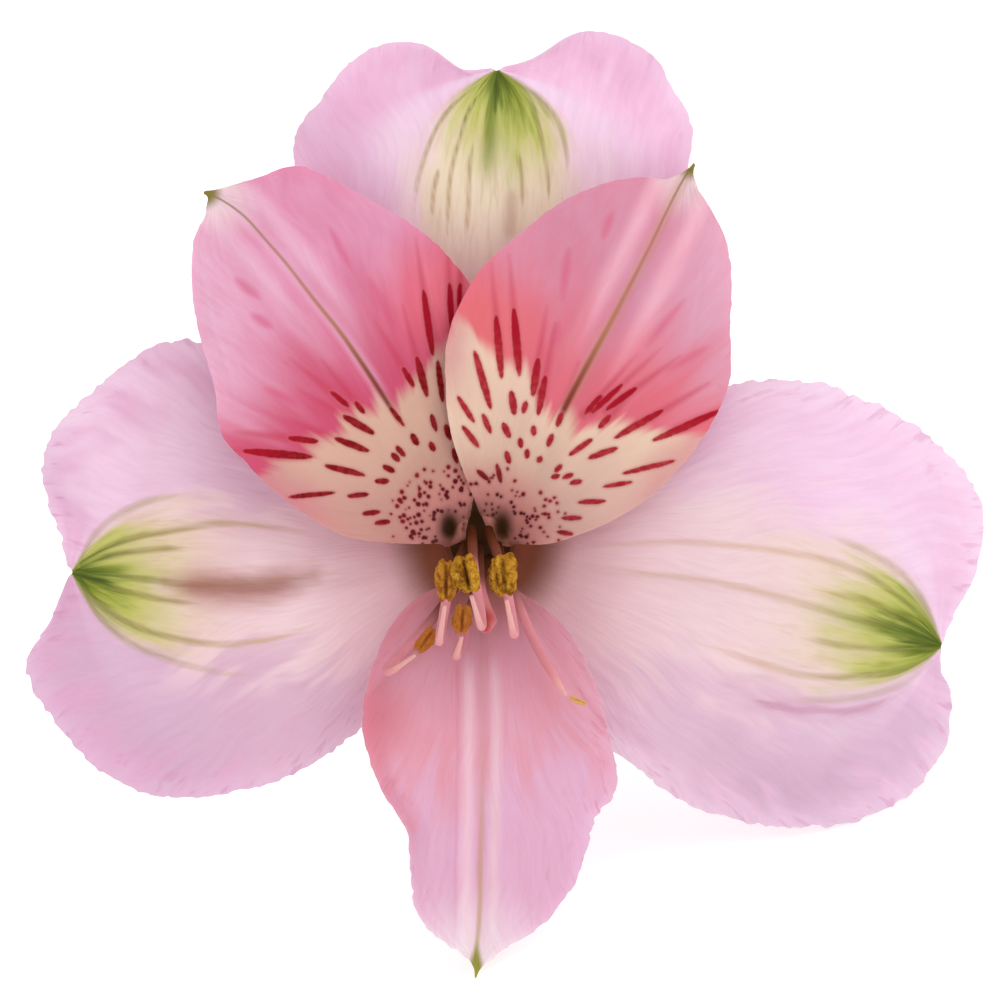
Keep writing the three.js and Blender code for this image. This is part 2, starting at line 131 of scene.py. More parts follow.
def screenColour(red, green, blue):     # a screen's 0 to 255, as paint under these lights
    def linear(value):
        value = value / 255
        dark, light = value / 12.92, ((value + 0.055) / 1.055) ** 2.4
        return studio["paintGain"] * (dark if value <= 0.04045 else light)
    return (linear(red), linear(green), linear(blue), 1.0)


class Wire:     # a value on its way through a node tree
    def __init__(self, tree, socket):
        self.tree = tree
        self.socket = socket

    def __add__(self, other):
        return calc("ADD", self, other)

    def __sub__(self, other):
        return calc("SUBTRACT", self, other)

    def __rsub__(self, other):
        return calc("SUBTRACT", other, self)

    def __mul__(self, other):
        return calc("MULTIPLY", self, other)

    def __truediv__(self, other):
        return calc("DIVIDE", self, other)

    def __rtruediv__(self, other):
        return calc("DIVIDE", other, self)

    def __pow__(self, other):
        return calc("POWER", self, other)

    def __abs__(self):
        return calc("ABSOLUTE", self)


def plug(socket, value):
    if isinstance(value, Wire):
        value.tree.links.new(value.socket, socket)
    else:
        socket.default_value = value


def addNode(tree, kind, inputs=None, **settings):
    made = tree.nodes.new(kind)
    for key, value in settings.items():
        setattr(made, key, value)
    for key, value in (inputs or {}).items():
        plug(made.inputs[key], value)
    return made


def calc(operation, *values):
    tree = next(value.tree for value in values if isinstance(value, Wire))
    made = addNode(tree, "ShaderNodeMath", dict(enumerate(values)), operation=operation)
    return Wire(tree, made.outputs[0])


def fade(value, start, end, low=0.0, high=1.0):     # low at start, high at end, smooth between
    inputs = dict(enumerate((value, start, end, low, high)))
    made = addNode(value.tree, "ShaderNodeMapRange", inputs, interpolation_type="SMOOTHSTEP")
    return Wire(value.tree, made.outputs[0])


def hill(value, middle, half):     # 1 at the middle, 0 from half away
    return fade(abs(value - middle), half, 0.0)


def mixed(share, first, second):     # the first colour, with a share of the second over it
    made = addNode(share.tree, "ShaderNodeMix", {0: share, 6: first, 7: second}, data_type="RGBA")
    return Wire(share.tree, made.outputs[2])


def field(tree, name):     # a value that the mesh carries
    made = addNode(tree, "ShaderNodeAttribute", attribute_type="GEOMETRY", attribute_name=name)
    return Wire(tree, made.outputs["Fac"])


def objectSpot(tree):
    return Wire(tree, addNode(tree, "ShaderNodeTexCoord").outputs["Object"])


def joined(x, y, z=0.0):
    return Wire(x.tree, addNode(x.tree, "ShaderNodeCombineXYZ", {0: x, 1: y, 2: z}).outputs[0])


def noiseAt(vector, scale, detail=2.0, roughness=0.5, distortion=0.0):
    made = addNode(vector.tree, "ShaderNodeTexNoise", {
        "Vector": vector, "Scale": scale, "Detail": detail, "Roughness": roughness,
        "Distortion": distortion})
    return Wire(vector.tree, made.outputs[0])


def cellGap(vector, scale):     # distance to the middle of the nearest small cell
    made = addNode(vector.tree, "ShaderNodeTexVoronoi", {"Vector": vector, "Scale": scale}, feature="F1")
    return Wire(vector.tree, made.outputs["Distance"])


def bumped(height, strength, distance):
    made = addNode(height.tree, "ShaderNodeBump", {
        "Height": height, "Strength": strength, "Distance": distance})
    return Wire(height.tree, made.outputs[0])


def newGroup(name, inputs, outputs):
    tree = bpy.data.node_groups.new(name, "ShaderNodeTree")
    for label, value in inputs.items():
        socket = tree.interface.new_socket(name=label, in_out="INPUT", socket_type="NodeSocketFloat")
        socket.default_value = value
    for label in outputs:
        tree.interface.new_socket(name=label, in_out="OUTPUT", socket_type="NodeSocketFloat")
    start = tree.nodes.new("NodeGroupInput")
    end = tree.nodes.new("NodeGroupOutput")
    return tree, {label: Wire(tree, start.outputs[label]) for label in inputs}, end.inputs


def useGroup(tree, group, inputs):
    made = addNode(tree, "ShaderNodeGroup", inputs, node_tree=group)
    return {socket.name: Wire(tree, socket) for socket in made.outputs}


def startMaterial(name):
    material = bpy.data.materials.new(name)
    material.use_nodes = True
    material.node_tree.nodes.clear()
    return material, material.node_tree


def finishMaterial(tree, inputs):
    shader = addNode(tree, "ShaderNodeBsdfPrincipled", inputs)
    out = tree.nodes.new("ShaderNodeOutputMaterial")
    tree.links.new(shader.outputs[0], out.inputs["Surface"])


# Effects that several materials share. First, fine lines that fan out from the throat over a petal,
# broader streaks of the same kind, and short crinkles along its margin.
def makePetalVeins():
    tree, given, result = newGroup(
        "petalVeins", {"Line Count": 60.0, "Streak Count": 12.0, "Seed": 0.0},
        ["Lines", "Streaks", "Crinkles"])
    ray = field(tree, "ray")
    radius = field(tree, "axisGap")
    waver = noiseAt(joined(ray * 2.0, radius * 0.11, given["Seed"]), 1.0, 1.0) - 0.5
    bent = ray + waver * 0.16

    def fan(count, stretch, detail):
        return noiseAt(joined(bent * count, radius * stretch, given["Seed"]), 1.0, detail, 0.6)
    plug(result["Lines"], fade(fan(given["Line Count"], 0.22, 3.0), 0.34, 0.7))
    plug(result["Streaks"], fade(fan(given["Streak Count"], 0.12, 2.0), 0.36, 0.64))
    veinAndCreaseShade = fade(fan(given["Line Count"] * 0.7, 0.35, 2.0), 0.54, 0.7)
    reach = field(tree, "marginGap") + fan(9.0, 0.3, 1.0) * 3.0
    plug(result["Crinkles"], veinAndCreaseShade * fade(reach, 4.6, 1.4))
    return tree


# Soft cloudy change of tone over a petal, in its own millimetres.
def makeCloud():
    tree, given, result = newGroup("petalCloud", {"Size": 6.0, "Seed": 0.0}, ["Cloud"])
    spot = joined(field(tree, "planX") / given["Size"], field(tree, "planY") / given["Size"],
                  given["Seed"])
    plug(result["Cloud"], fade(noiseAt(spot, 1.0), 0.3, 0.7))
    return tree


# The tiny bumps of living skin, as a height.
def makeSkinGrain():
    tree, given, result = newGroup("skinGrain", {"Cell Size": 0.1, "Strength": 1.0}, ["Height"])
    scale = 1 / mm / given["Cell Size"]
    plug(result["Height"], (1.0 - cellGap(objectSpot(tree), scale)) * given["Strength"])
    return tree


petalVeins = makePetalVeins()
petalCloud = makeCloud()
skinGrain = makeSkinGrain()
print("shared effects made")


def grainOf(tree, cellSize, strength):
    return useGroup(tree, skinGrain, {"Cell Size": cellSize, "Strength": strength})["Height"]


# In the petals' materials, gaps and depths are in mm: axisGap from the flower's axis, marginGap from the
# petal's margin, midGap from its midrib, tipGap from its point, depth along the axis.
petalFinish = {
    "veinHeight": 0.5,
    "crinkleHeight": 1.4,
    "bump": 0.35,
    "bumpDistance": 0.00008,     # m
    "specular": 0.25,
    "subsurface": 0.35,
    "subsurfaceRadius": (1.0, 0.6, 0.65),
    "sheen": 0.05,
}


def finishPetal(tree, inputs, veins, gloss=petalFinish["specular"]):
    finish = petalFinish
    height = veins["Lines"] * finish["veinHeight"] + grainOf(tree, 0.12, 0.25)
    height = height - veins["Crinkles"] * finish["crinkleHeight"]
    finishMaterial(tree, {
        "Normal": bumped(height, finish["bump"], finish["bumpDistance"]), "Specular IOR Level": gloss,
        "Subsurface Weight": finish["subsurface"], "Subsurface Radius": finish["subsurfaceRadius"],
        "Sheen Weight": finish["sheen"], **inputs})


outerLook = {
    "halo": screenColour(246, 226, 244),
    "centre": screenColour(246, 222, 224),
    "warm": screenColour(242, 204, 208),
    "throatShade": screenColour(132, 78, 56),
    "capDark": screenColour(64, 86, 0),
    "capGreen": screenColour(130, 148, 20),
    "capLime": screenColour(188, 196, 84),
    "capStroke": screenColour(118, 134, 34),
    "capStreak": screenColour(192, 174, 126),
    "vein": screenColour(150, 142, 72),
    "farVein": screenColour(208, 176, 144),
    "veinAndCreaseShade": screenColour(198, 132, 172),
    "backPale": screenColour(226, 188, 208),
    "backGreen": screenColour(150, 168, 84),
    "backClaw": screenColour(176, 170, 108),
    "subsurfaceScale": 0.0012,     # m
}


def outerMaterial(name, seed, cap):
    look = outerLook
    material, tree = startMaterial(name)
    veins = useGroup(tree, petalVeins, {"Line Count": 58.0, "Streak Count": 11.0, "Seed": seed})
    cloud = useGroup(tree, petalCloud, {"Size": 6.0, "Seed": seed})["Cloud"]
    axisGap, depth, back = field(tree, "axisGap"), field(tree, "depth"), field(tree, "back")
    along, across = field(tree, "capAlong"), field(tree, "capAcross")
    side = abs(across)
    jitter = veins["Streaks"] - 0.5
    green, reach = cap["green"], cap["reach"]

    # the lilac blade, one tone to each lobe, the lobe nearer the upper right painted lighter and the other
    # darker as the light falls from there, pinker at its margin, near white beside the cap
    blade = mixed(fade(field(tree, "across"), -0.5, 0.5), cap["firstLobe"], cap["lastLobe"])
    ragged = field(tree, "marginGap") + jitter * 4.0
    blade = mixed(fade(ragged, cap["blushReach"], 0.0) * 0.55, blade, cap["blush"])
    blade = mixed(cloud * 0.3, blade, cap["blush"])
    beside = hill(side, 1.25, 0.8) * fade(along, 15.0, 5.0)
    blade = mixed(beside * cap["halo"], blade, look["halo"])

    # and warm down its middle. Toward the axis the near tone is painted shade on the left and right petals
    # and painted light on the top one, and the warm tone is painted lighter than the petal's own to offset
    # the shade there
    blade = mixed(fade(axisGap, 33.0, 19.0, 0.0, 0.7), blade, cap["near"])
    inMiddle = fade(side + jitter * 0.5, cap["middle"], 0.5) * fade(along, 2.0, 9.0, 0.0, 0.9)
    blade = mixed(inMiddle, blade, look["centre"])
    blade = mixed(fade(axisGap, 20.0, 9.0, 0.0, 0.7), blade, look["warm"])
    # mauve on the vein lines, and painted shade in the creases of the margin's crinkles
    blade = mixed(veins["Lines"] * 0.12, blade, look["veinAndCreaseShade"])
    blade = mixed(veins["Crinkles"] * cap["crinkles"], blade, look["veinAndCreaseShade"])

    # the cap: a cream ground streaked lengthwise, green deepening toward the point
    def strands(count, stretch, offset):
        spot = joined(across * count, along * stretch, seed + offset)
        return noiseAt(spot, 1.0, 2.0, 0.6, 0.3) - 0.5
    broad = strands(4.5, 0.16, 0.0)
    fine = strands(13.0, 0.26, 5.0)
    inCap = fade(side + broad * 0.5, 1.08, 0.6) * fade(along + broad * 9.0, reach, reach * 0.3)
    inCap = inCap * fade(along, green, green * 2.4, 1.0, cap["cover"])
    tone = mixed(fade(along, green * 1.5, reach * 0.8), cap["ground"], cap["far"])
    streak = fade(fine, -0.05, 0.2) * fade(along, 24.0, 4.0, 0.15, cap["streak"])
    tone = mixed(streak, tone, look["capStreak"])
    away = along + (broad + fine) * green + abs(across - cap["greenSide"]) * cap["spread"]
    tone = mixed(fade(away, green * 1.9, green * 0.8, 0.0, 0.85), tone, look["capLime"])
    tone = mixed(fade(away, green * 1.1, green * 0.35, 0.0, 0.85), tone, look["capGreen"])
    core = away + abs(across - cap["coreSide"]) * (green * 0.8)
    tone = mixed(fade(core, green, green * 0.2), tone, look["capDark"])
    stroke = hill(across + fine * 0.1, cap["coreSide"], 0.16)
    stroke = stroke * fade(along, cap["stroke"], cap["stroke"] * 0.5, 0.0, 0.75)
    tone = mixed(stroke, tone, look["capStroke"])
    front = mixed(inCap, blade, tone)

    # its veins, olive near the point and beige further on
    veinTone = mixed(fade(along, green * 0.8, green * cap["olive"]), look["vein"], look["farVein"])
    atPoint = fade(along, green, green * 0.4) * fade(side, 0.9, 0.4)
    veinTone = mixed(atPoint, veinTone, look["capDark"])
    veinShare = fade(field(tree, "veinField") + fine * 0.4, cap["veinWidth"], 0.0)
    veinShare = veinShare * fade(along, cap["veins"], 6.0, 0.35, cap["veinShare"])
    front = mixed(veinShare * fade(side, 1.05, 0.7, 0.5, 1.0), front, veinTone)
    # a darker mark along a path, with a soft halo; on the right petal it is a painted shadow along the
    # fold below the cap
    duskGap = field(tree, "duskField") + (broad + fine) * 0.9
    halo = fade(duskGap, cap["duskWidth"] * 2.4, 0.5, 0.0, cap["duskHalo"])
    front = mixed(halo, front, cap["dusk"])
    front = mixed(fade(duskGap, cap["duskWidth"], 0.0, 0.0, cap["duskShare"]), front, cap["dusk"])

    # painted shade: brown toward the throat and darker down in it, where little light reaches
    front = mixed(fade(axisGap, 8.6, 4.6), front, look["throatShade"])
    front = mixed(fade(depth, -14.5, -17.5), front, cap["deep"])

    # the back: pale, with a green keel and a beige claw
    keel = fade(abs(field(tree, "midGap")), 2.6, 0.3) * fade(axisGap, 4.0, 12.0)
    rear = mixed(keel, look["backPale"], look["backGreen"])
    rear = mixed(fade(away, green * 1.8, 0.0), rear, look["backGreen"])
    rear = mixed(veins["Lines"] * 0.25, rear, look["veinAndCreaseShade"])
    rear = mixed(fade(depth, -12.0, -25.0), rear, look["backClaw"])
    # a faint painted glow on the front down in the throat, so that its painted shade is not black
    paintedGlow = fade(depth, -10.0, -16.0, 0.0, fade(back, 0.2, 0.0, 0.0, cap["paintedGlow"]))
    finishPetal(tree, {
        "Base Color": mixed(back, front, rear), "Emission Color": cap["deep"], "Emission Strength": paintedGlow,
        "Roughness": fade(veins["Lines"], 0.0, 1.0, 0.5, 0.62),
        "Subsurface Scale": look["subsurfaceScale"]}, veins)
    return material


innerLook = {
    "flame": screenColour(204, 56, 86),
    "throat": screenColour(254, 176, 168),
    "hole": screenColour(104, 60, 34),
    "pit": screenColour(44, 20, 0),
    "paintedGlow": screenColour(52, 30, 10),
    "rim": screenColour(206, 138, 132),
    "deepThroatShade": screenColour(100, 62, 40),
    "spotNear": screenColour(102, 20, 30),
    "spotFar": screenColour(176, 6, 38),
    "spotEdge": screenColour(206, 112, 116),
    "midrib": screenColour(128, 48, 16),
    "midribFar": screenColour(180, 120, 74),
    "tipGreen": screenColour(140, 124, 52),
    "tipPale": screenColour(248, 230, 230),
    "backPale": screenColour(232, 176, 200),
    "backGreen": screenColour(160, 172, 104),
    "backClaw": screenColour(190, 168, 124),
    "creamBlush": screenColour(212, 132, 142),
    "subsurfaceScale": 0.0004,     # m
}


def keeledBack(look, away, axisGap, tipGap, lines, lineTone):     # the pale back of an inner petal
    keel = fade(away, 1.8, 0.3) * fade(axisGap, 6.0, 12.0)
    rear = mixed(keel, look["backPale"], look["backGreen"])
    rear = mixed(fade(tipGap, 5.0, 1.0), rear, look["backGreen"])
    return mixed(lines * 0.2, rear, lineTone)


def innerMaterial(name, seed, petal):
    look = innerLook
    material, tree = startMaterial(name)
    veins = useGroup(tree, petalVeins, {"Line Count": 46.0, "Streak Count": 9.0, "Seed": seed})
    cloud = useGroup(tree, petalCloud, {"Size": 5.0, "Seed": seed})["Cloud"]
    planX, planY = field(tree, "planX"), field(tree, "planY")
    axisGap, depth, back = field(tree, "axisGap"), field(tree, "depth"), field(tree, "back")
    margin, tipGap, midGap = field(tree, "marginGap"), field(tree, "tipGap"), field(tree, "midGap")
    cream, hole, ray = field(tree, "creamField"), field(tree, "holeGap"), field(tree, "hubRay")
    away = abs(midGap)

    # pink blade, paler toward its outer side, with painted highlights on the raised pleats beside the
    # midrib
    outerSide = field(tree, "across") * petal["outerSide"]
    tone = mixed(fade(outerSide, -0.1, 0.9, 0.0, 0.8), petal["pink"], petal["light"])
    tone = mixed(cloud * 0.25, tone, petal["light"])
    pleat = hill(midGap, petal["paleAt"][0], 1.5) + hill(midGap, petal["paleAt"][1], 1.3)
    tone = mixed(pleat * fade(cream, -1.0, -6.0, 0.0, 0.75), tone, petal["pleatHighlight"])

    # deeper flames that rise from the cream's edge, and a coral patch
    def flames(count, stretch, detail, offset):
        spot = joined(ray * count, cream * stretch, seed + offset)
        return noiseAt(spot, 1.0, detail, 0.55) - 0.5
    flame = flames(8.0, 0.06, 2.0, 0.0)
    tone = mixed(fade(cream + flame * 11.0, -14.0, -0.5), tone, petal["deep"])
    coralX, coralY = petal["coralAt"]
    coralGap = calc("SQRT", (planX - coralX) ** 2.0 + (planY - coralY) ** 2.0)
    tone = mixed(fade(coralGap, petal["coralReach"], 0.5, 0.0, 0.7), tone, petal["coral"])
    streak = field(tree, "streakField") + flame * 0.5
    tone = mixed(fade(streak, 0.4, -0.3, 0.0, 0.6), tone, petal["streak"])
    tail = field(tree, "tailField") + flame * 0.4
    tone = mixed(fade(tail, 0.3, -0.4, 0.0, 0.7), tone, look["flame"])
    tone = mixed(veins["Lines"] * 0.14, tone, petal["deep"])

    # the cream field, fingering out between the flames
    feather = cream + flames(8.0, 0.05, 2.0, 4.0) * 6.5 + flames(26.0, 0.1, 1.0, 9.0) * 1.5
    lowShade = fade(planY, 9.0, 1.0, 0.0, petal["creamShade"])
    creamTone = mixed(lowShade, petal["cream"], petal["shade"])
    creamTone = mixed(cloud * 0.25, creamTone, petal["shade"])
    # toward the throat the cream takes the throat's pink, painted lighter than its own to offset the shade
    # there
    creamTone = mixed(fade(axisGap, 8.5, 3.5), creamTone, look["throat"])
    creamTone = mixed(veins["Lines"] * 0.1, creamTone, look["throat"])
    atMargin = fade(margin + cloud * 1.2, 4.2, 0.6, 0.0, petal["creamBlush"])
    creamTone = mixed(atMargin * fade(axisGap, 10.5, 16.5), creamTone, look["creamBlush"])
    tone = mixed(fade(feather, -1.1, 0.9), tone, creamTone)

    # midrib, green point and its pale ground
    ribWidth = fade(tipGap, 0.0, 26.0, 0.1, petal["ribWidth"])
    ribTone = mixed(fade(cream, -9.0, -1.0), look["midribFar"], look["midrib"])
    ribTone = mixed(fade(tipGap, 8.0, 1.5), ribTone, look["tipGreen"])
    tone = mixed(fade(tipGap + away * 0.7, 6.5, 1.5, 0.0, 0.8), tone, look["tipPale"])
    ribEdge = fade(away, 0.9, 0.25) * fade(cream, 1.0, -3.0, 0.0, 0.4)
    tone = mixed(ribEdge, tone, petal["ribTone"])
    ribShare = fade(cream, -14.0, -3.0, 0.75, 0.95)
    ribShare = fade(cream, petal["ribEnd"], petal["ribEnd"] - 1.6, 0.0, ribShare)
    tone = mixed(fade(away / ribWidth, 1.7, 0.2) * ribShare, tone, ribTone)
    tone = mixed(fade(tipGap, 1.8, 0.6), tone, look["tipGreen"])

    # crimson dashes and dots
    rough = noiseAt(joined(planX, planY), 1.9, 2.0)
    dash = field(tree, "dashField") + (rough - 0.5) * 0.12
    spotTone = mixed(fade(rough, 0.4, 0.62, 0.0, 0.6), petal["spot"], petal["spotLight"])
    spotTone = mixed(fade(axisGap, 8.0, 4.0), spotTone, look["spotNear"])
    spotTone = mixed(fade(cream, 1.0, -3.0), spotTone, look["spotFar"])
    tone = mixed(fade(dash, 0.32, 0.0, 0.0, 0.35), tone, look["spotEdge"])
    tone = mixed(fade(dash, 0.1, -0.06), tone, spotTone)

    # the nectar tube's mouth: a real dip, painted dark as its shade, with a painted highlight along the
    # claw's margin beside it
    tone = mixed(fade(hole, 1.9, 0.5, 0.0, 0.85), tone, look["hole"])
    tone = mixed(fade(hole, 1.2, 0.3), tone, look["pit"])
    atRim = fade(margin, 0.45, 0.12, 0.0, 0.75) * fade(axisGap, 4.5, 3.2)
    tone = mixed(atRim, tone, look["rim"])

    # the back; inside the rolled claw it takes the throat's tone, and down in the throat front and back
    # are painted dark as its shade, with a faint painted glow
    rear = keeledBack(look, away, axisGap, tipGap, veins["Lines"], petal["deep"])
    rear = mixed(fade(axisGap, 5.5, 3.5), rear, look["throat"])
    outside = back * fade(axisGap, 3.3, 3.8)
    rear = mixed(outside * fade(depth, -6.0, -20.0), rear, look["backClaw"])
    within = 1.0 - outside
    colour = mixed(fade(depth, -16.5, -19.0) * within, mixed(back, tone, rear), look["deepThroatShade"])
    gloss = fade(hole, 0.8, 2.0, 0.0, petalFinish["specular"]) * fade(dash, -0.05, 0.15, 0.3, 1.0)
    finishPetal(tree, {
        "Base Color": colour, "Emission Color": look["paintedGlow"],
        "Emission Strength": fade(depth, -12.0, -17.0) * within,
        "Roughness": fade(dash, -0.05, 0.3, 0.42, 0.55),
        "Subsurface Scale": look["subsurfaceScale"]}, veins, gloss)
    return material


bottomLook = {
    "pink": screenColour(230, 162, 178),
    "lilac": screenColour(228, 182, 210),
    "coral": screenColour(212, 120, 138),
    "band": screenColour(242, 206, 218),
    "groove": screenColour(228, 164, 178),
    "midrib": screenColour(196, 164, 116),
    "tipGreen": screenColour(146, 154, 40),
    "tipPale": screenColour(246, 232, 238),
    "throat": screenColour(214, 140, 140),
    "throatShade": screenColour(140, 80, 62),
    "backPale": screenColour(232, 190, 208),
    "backGreen": screenColour(160, 176, 104),
    "backClaw": screenColour(184, 168, 116),
    "paintedGlow": 0.35,
    "subsurfaceScale": 0.001,     # m
}


def bottomMaterial(name, seed):
    look = bottomLook
    material, tree = startMaterial(name)
    veins = useGroup(tree, petalVeins, {"Line Count": 60.0, "Streak Count": 14.0, "Seed": seed})
    cloud = useGroup(tree, petalCloud, {"Size": 5.0, "Seed": seed})["Cloud"]
    planY, across, margin = field(tree, "planY"), field(tree, "across"), field(tree, "marginGap")
    axisGap, depth, back = field(tree, "axisGap"), field(tree, "depth"), field(tree, "back")
    tipGap, midGap = field(tree, "tipGap"), field(tree, "midGap")
    away = abs(midGap)

    # pink above, lilac below, coral toward one side
    shiftedY = planY + (veins["Streaks"] - 0.5) * 5.0 - across * -3.0
    tone = mixed(fade(shiftedY, -14.0, -25.0), look["pink"], look["lilac"])
    tone = mixed(cloud * 0.3, tone, look["lilac"])
    coralSide = fade(across, 0.5, 0.9) * hill(planY, -14.8, 4.8)
    tone = mixed(coralSide * 0.75, tone, look["coral"])
    coralEdge = fade(margin, 2.2, 0.2) * fade(across, 0.0, 0.4)
    tone = mixed(coralEdge * fade(planY, -29.0, -21.0, 0.0, 0.5), tone, look["coral"])

    # two pale bands beside the groove, and the green point on its pale ground
    bands = hill(midGap, 1.15, 0.85) + hill(midGap, -1.15, 0.85)
    tone = mixed(bands * fade(axisGap, 8.0, 12.0) * 0.8, tone, look["band"])
    tone = mixed(hill(midGap, 2.1, 0.28) * 0.25, tone, look["coral"])
    tone = mixed(fade(away, 0.5, 0.15, 0.0, 0.6), tone, look["groove"])
    tone = mixed(fade(tipGap, 9.0, 1.5, 0.0, 0.85), tone, look["tipPale"])
    rib = fade(away, 0.34, 0.04) * fade(planY, -15.0, -30.0, 0.05, 0.65)
    tone = mixed(rib, tone, look["midrib"])
    tone = mixed(fade(tipGap + away * 2.6, 3.8, 1.8), tone, look["tipGreen"])

    # painted shade: darker and brown toward and down in the throat; fine veins all over
    tone = mixed(fade(axisGap, 9.0, 4.5), tone, look["throat"])
    tone = mixed(fade(axisGap, 5.0, 3.3), tone, look["throatShade"])
    tone = mixed(veins["Lines"] * 0.12, tone, look["coral"])
    # painted shade in the creases of the margin's crinkles, in coral
    crinkles = veins["Crinkles"] * fade(tipGap, 5.0, 10.0, 0.0, 0.5)
    tone = mixed(crinkles, tone, look["coral"])
    tone = mixed(fade(depth, -12.5, -17.0), tone, look["throatShade"])

    rear = keeledBack(look, away, axisGap, tipGap, veins["Lines"], look["coral"])
    rear = mixed(fade(depth, -12.0, -25.0), rear, look["backClaw"])
    # a faint painted glow down in the claw, in the brown of its painted shade
    paintedGlow = fade(depth, -9.0, -15.0, 0.0, fade(back, 0.2, 0.0, 0.0, look["paintedGlow"]))
    finishPetal(tree, {
        "Base Color": mixed(back, tone, rear), "Emission Color": look["throatShade"], "Emission Strength": paintedGlow,
        "Roughness": fade(veins["Lines"], 0.0, 1.0, 0.48, 0.6),
        "Subsurface Scale": look["subsurfaceScale"]}, veins)
    return material


def smoothStep(value, start, end):
    share = np.clip((np.asarray(value, dtype=float) - start) / (end - start), 0, 1)
    return share * share * (3 - 2 * share)


def latticeNoise(x, y, seed):     # smooth noise from -1 to 1, one cell per unit
    size = 97
    table = np.random.default_rng(seed).random((size, size)) * 2 - 1
    cellX, cellY = np.floor(x).astype(int), np.floor(y).astype(int)
    shareX, shareY = smoothStep(x - cellX, 0, 1), smoothStep(y - cellY, 0, 1)
    def corner(stepX, stepY):
        return table[(cellX + stepX) % size, (cellY + stepY) % size]
    low = corner(0, 0) * (1 - shareX) + corner(1, 0) * shareX
    high = corner(0, 1) * (1 - shareX) + corner(1, 1) * shareX
    return low * (1 - shareY) + high * shareY


def splineAt(values, u):     # Catmull-Rom through the values, at fractional places u
    values = np.asarray(values, dtype=float)
    u = np.asarray(u, dtype=float)
    padded = np.concatenate(([2 * values[0] - values[1]], values, [2 * values[-1] - values[-2]]))
    cell = np.clip(np.floor(u).astype(int), 0, len(values) - 2)
    f = u - cell
    a, b, c, d = (padded[cell + k] for k in range(4))
    return b + 0.5 * f * (c - a + f * (2 * a - 5 * b + 4 * c - d + f * (3 * (b - c) + d - a)))


def unit(vectors):
    return vectors / np.maximum(np.linalg.norm(vectors, axis=-1, keepdims=True), 1e-12)


def curveThrough(points, count):     # centripetal Catmull-Rom, evenly stepped between its points
    points = np.array(points, dtype=float)
    ends = np.concatenate([[2 * points[0] - points[1]], points, [2 * points[-1] - points[-2]]])
    made = []
    for place in np.linspace(0, len(points) - 1, count):
        cell = min(int(place), len(points) - 2)
        level = list(ends[cell:cell + 4])
        gaps = [max(np.linalg.norm(b - a), 1e-6) ** 0.5 for a, b in zip(level, level[1:])]
        knots = np.concatenate([[0], np.cumsum(gaps)])
        at = knots[1] + gaps[1] * (place - cell)

        def blend(before, after, early, late):
            gap = knots[late] - knots[early]
            return (before * (knots[late] - at) + after * (at - knots[early])) / gap
        ab, bc, cd = (blend(level[k], level[k + 1], k, k + 1) for k in range(3))
        made.append(blend(blend(ab, bc, 0, 2), blend(bc, cd, 1, 3), 1, 2))
    return np.array(made)


def runOf(track):     # how far along a line of points each one lies
    return np.concatenate([[0], np.cumsum(np.linalg.norm(np.diff(track, axis=0), axis=-1))])


def gridQuads(rows, columns, start=0, flip=False):
    cell = start + np.arange(rows - 1)[:, None] * columns + np.arange(columns - 1)[None, :]
    corners = [cell, cell + 1, cell + columns + 1, cell + columns]
    if flip:
        corners.reverse()
    return np.stack(corners, axis=-1).reshape(-1, 4)


def shellQuads(rows, columns):     # a front and a rear sheet of points, joined along their edges
    count = rows * columns
    last = columns - 1
    here = np.arange(rows - 1) * columns
    there = here + columns
    faces = [gridQuads(rows, columns), gridQuads(rows, columns, count, flip=True),
             np.stack([here, there, there + count, here + count], axis=-1),
             np.stack([there + last, here + last, here + last + count, there + last + count], axis=-1)]
    for row, order in ((0, 1), (rows - 1, -1)):
        end = row * columns + np.arange(last)
        strip = [end + 1, end, end + count, end + 1 + count][::order]
        faces.append(np.stack(strip, axis=-1))
    return np.concatenate(faces)


def ringFaces(rings, sides):     # rings of points that close round, then the two points that end them
    place = np.arange(rings - 1)[:, None] * sides
    here, there = np.arange(sides)[None, :], (np.arange(sides)[None, :] + 1) % sides
    faces = np.stack([place + here, place + there, place + sides + there, place + sides + here],
                     axis=-1).reshape(-1, 4).tolist()
    count = rings * sides
    for k in range(sides):
        following = (k + 1) % sides
        faces.append([following, k, count])
        faces.append([count - sides + k, count - sides + following, count + 1])
    return faces


def makePiece(name, points, faces, fields, material, stands, sharp=None):
    mesh = bpy.data.meshes.new(name)
    mesh.from_pydata(toWorld(points).tolist(), [], faces)
    for label, values in fields.items():
        layer = mesh.attributes.new(label, "FLOAT", "POINT")
        layer.data.foreach_set("value", np.asarray(values, dtype=np.float32).ravel())
    mesh.polygons.foreach_set("use_smooth", [True] * len(mesh.polygons))
    if sharp:
        mesh.set_sharp_from_angle(angle=math.radians(sharp))
    mesh.materials.append(material)
    mesh.update()
    piece = bpy.data.objects.new(name, mesh)
    bpy.context.scene.collection.objects.link(piece)
    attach(piece, "root")
    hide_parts(*stands)


# Depth of a whorl at a radius: it drops into the throat by `drop` over `fall`, and bends back by
# `reflex` beyond `reflexFrom`.
innerWhorl = {"set": 0, "drop": 15, "fall": 7, "reflex": 0.006, "reflexFrom": 24}
outerWhorl = {"set": -4.2, "drop": 14, "fall": 8, "reflex": 0.007, "reflexFrom": 27}

claw = {"z": -28, "ring": 2.9, "halfWidth": 1.2, "stations": 4}
nectar = {
    "radius": 0.95,
    "halfAngle": 2.8,
    "ring": 3.4,
    "pitWidth": 0.75,
    "pitHeight": 1.35,
    "pitDepth": 1.5,
}

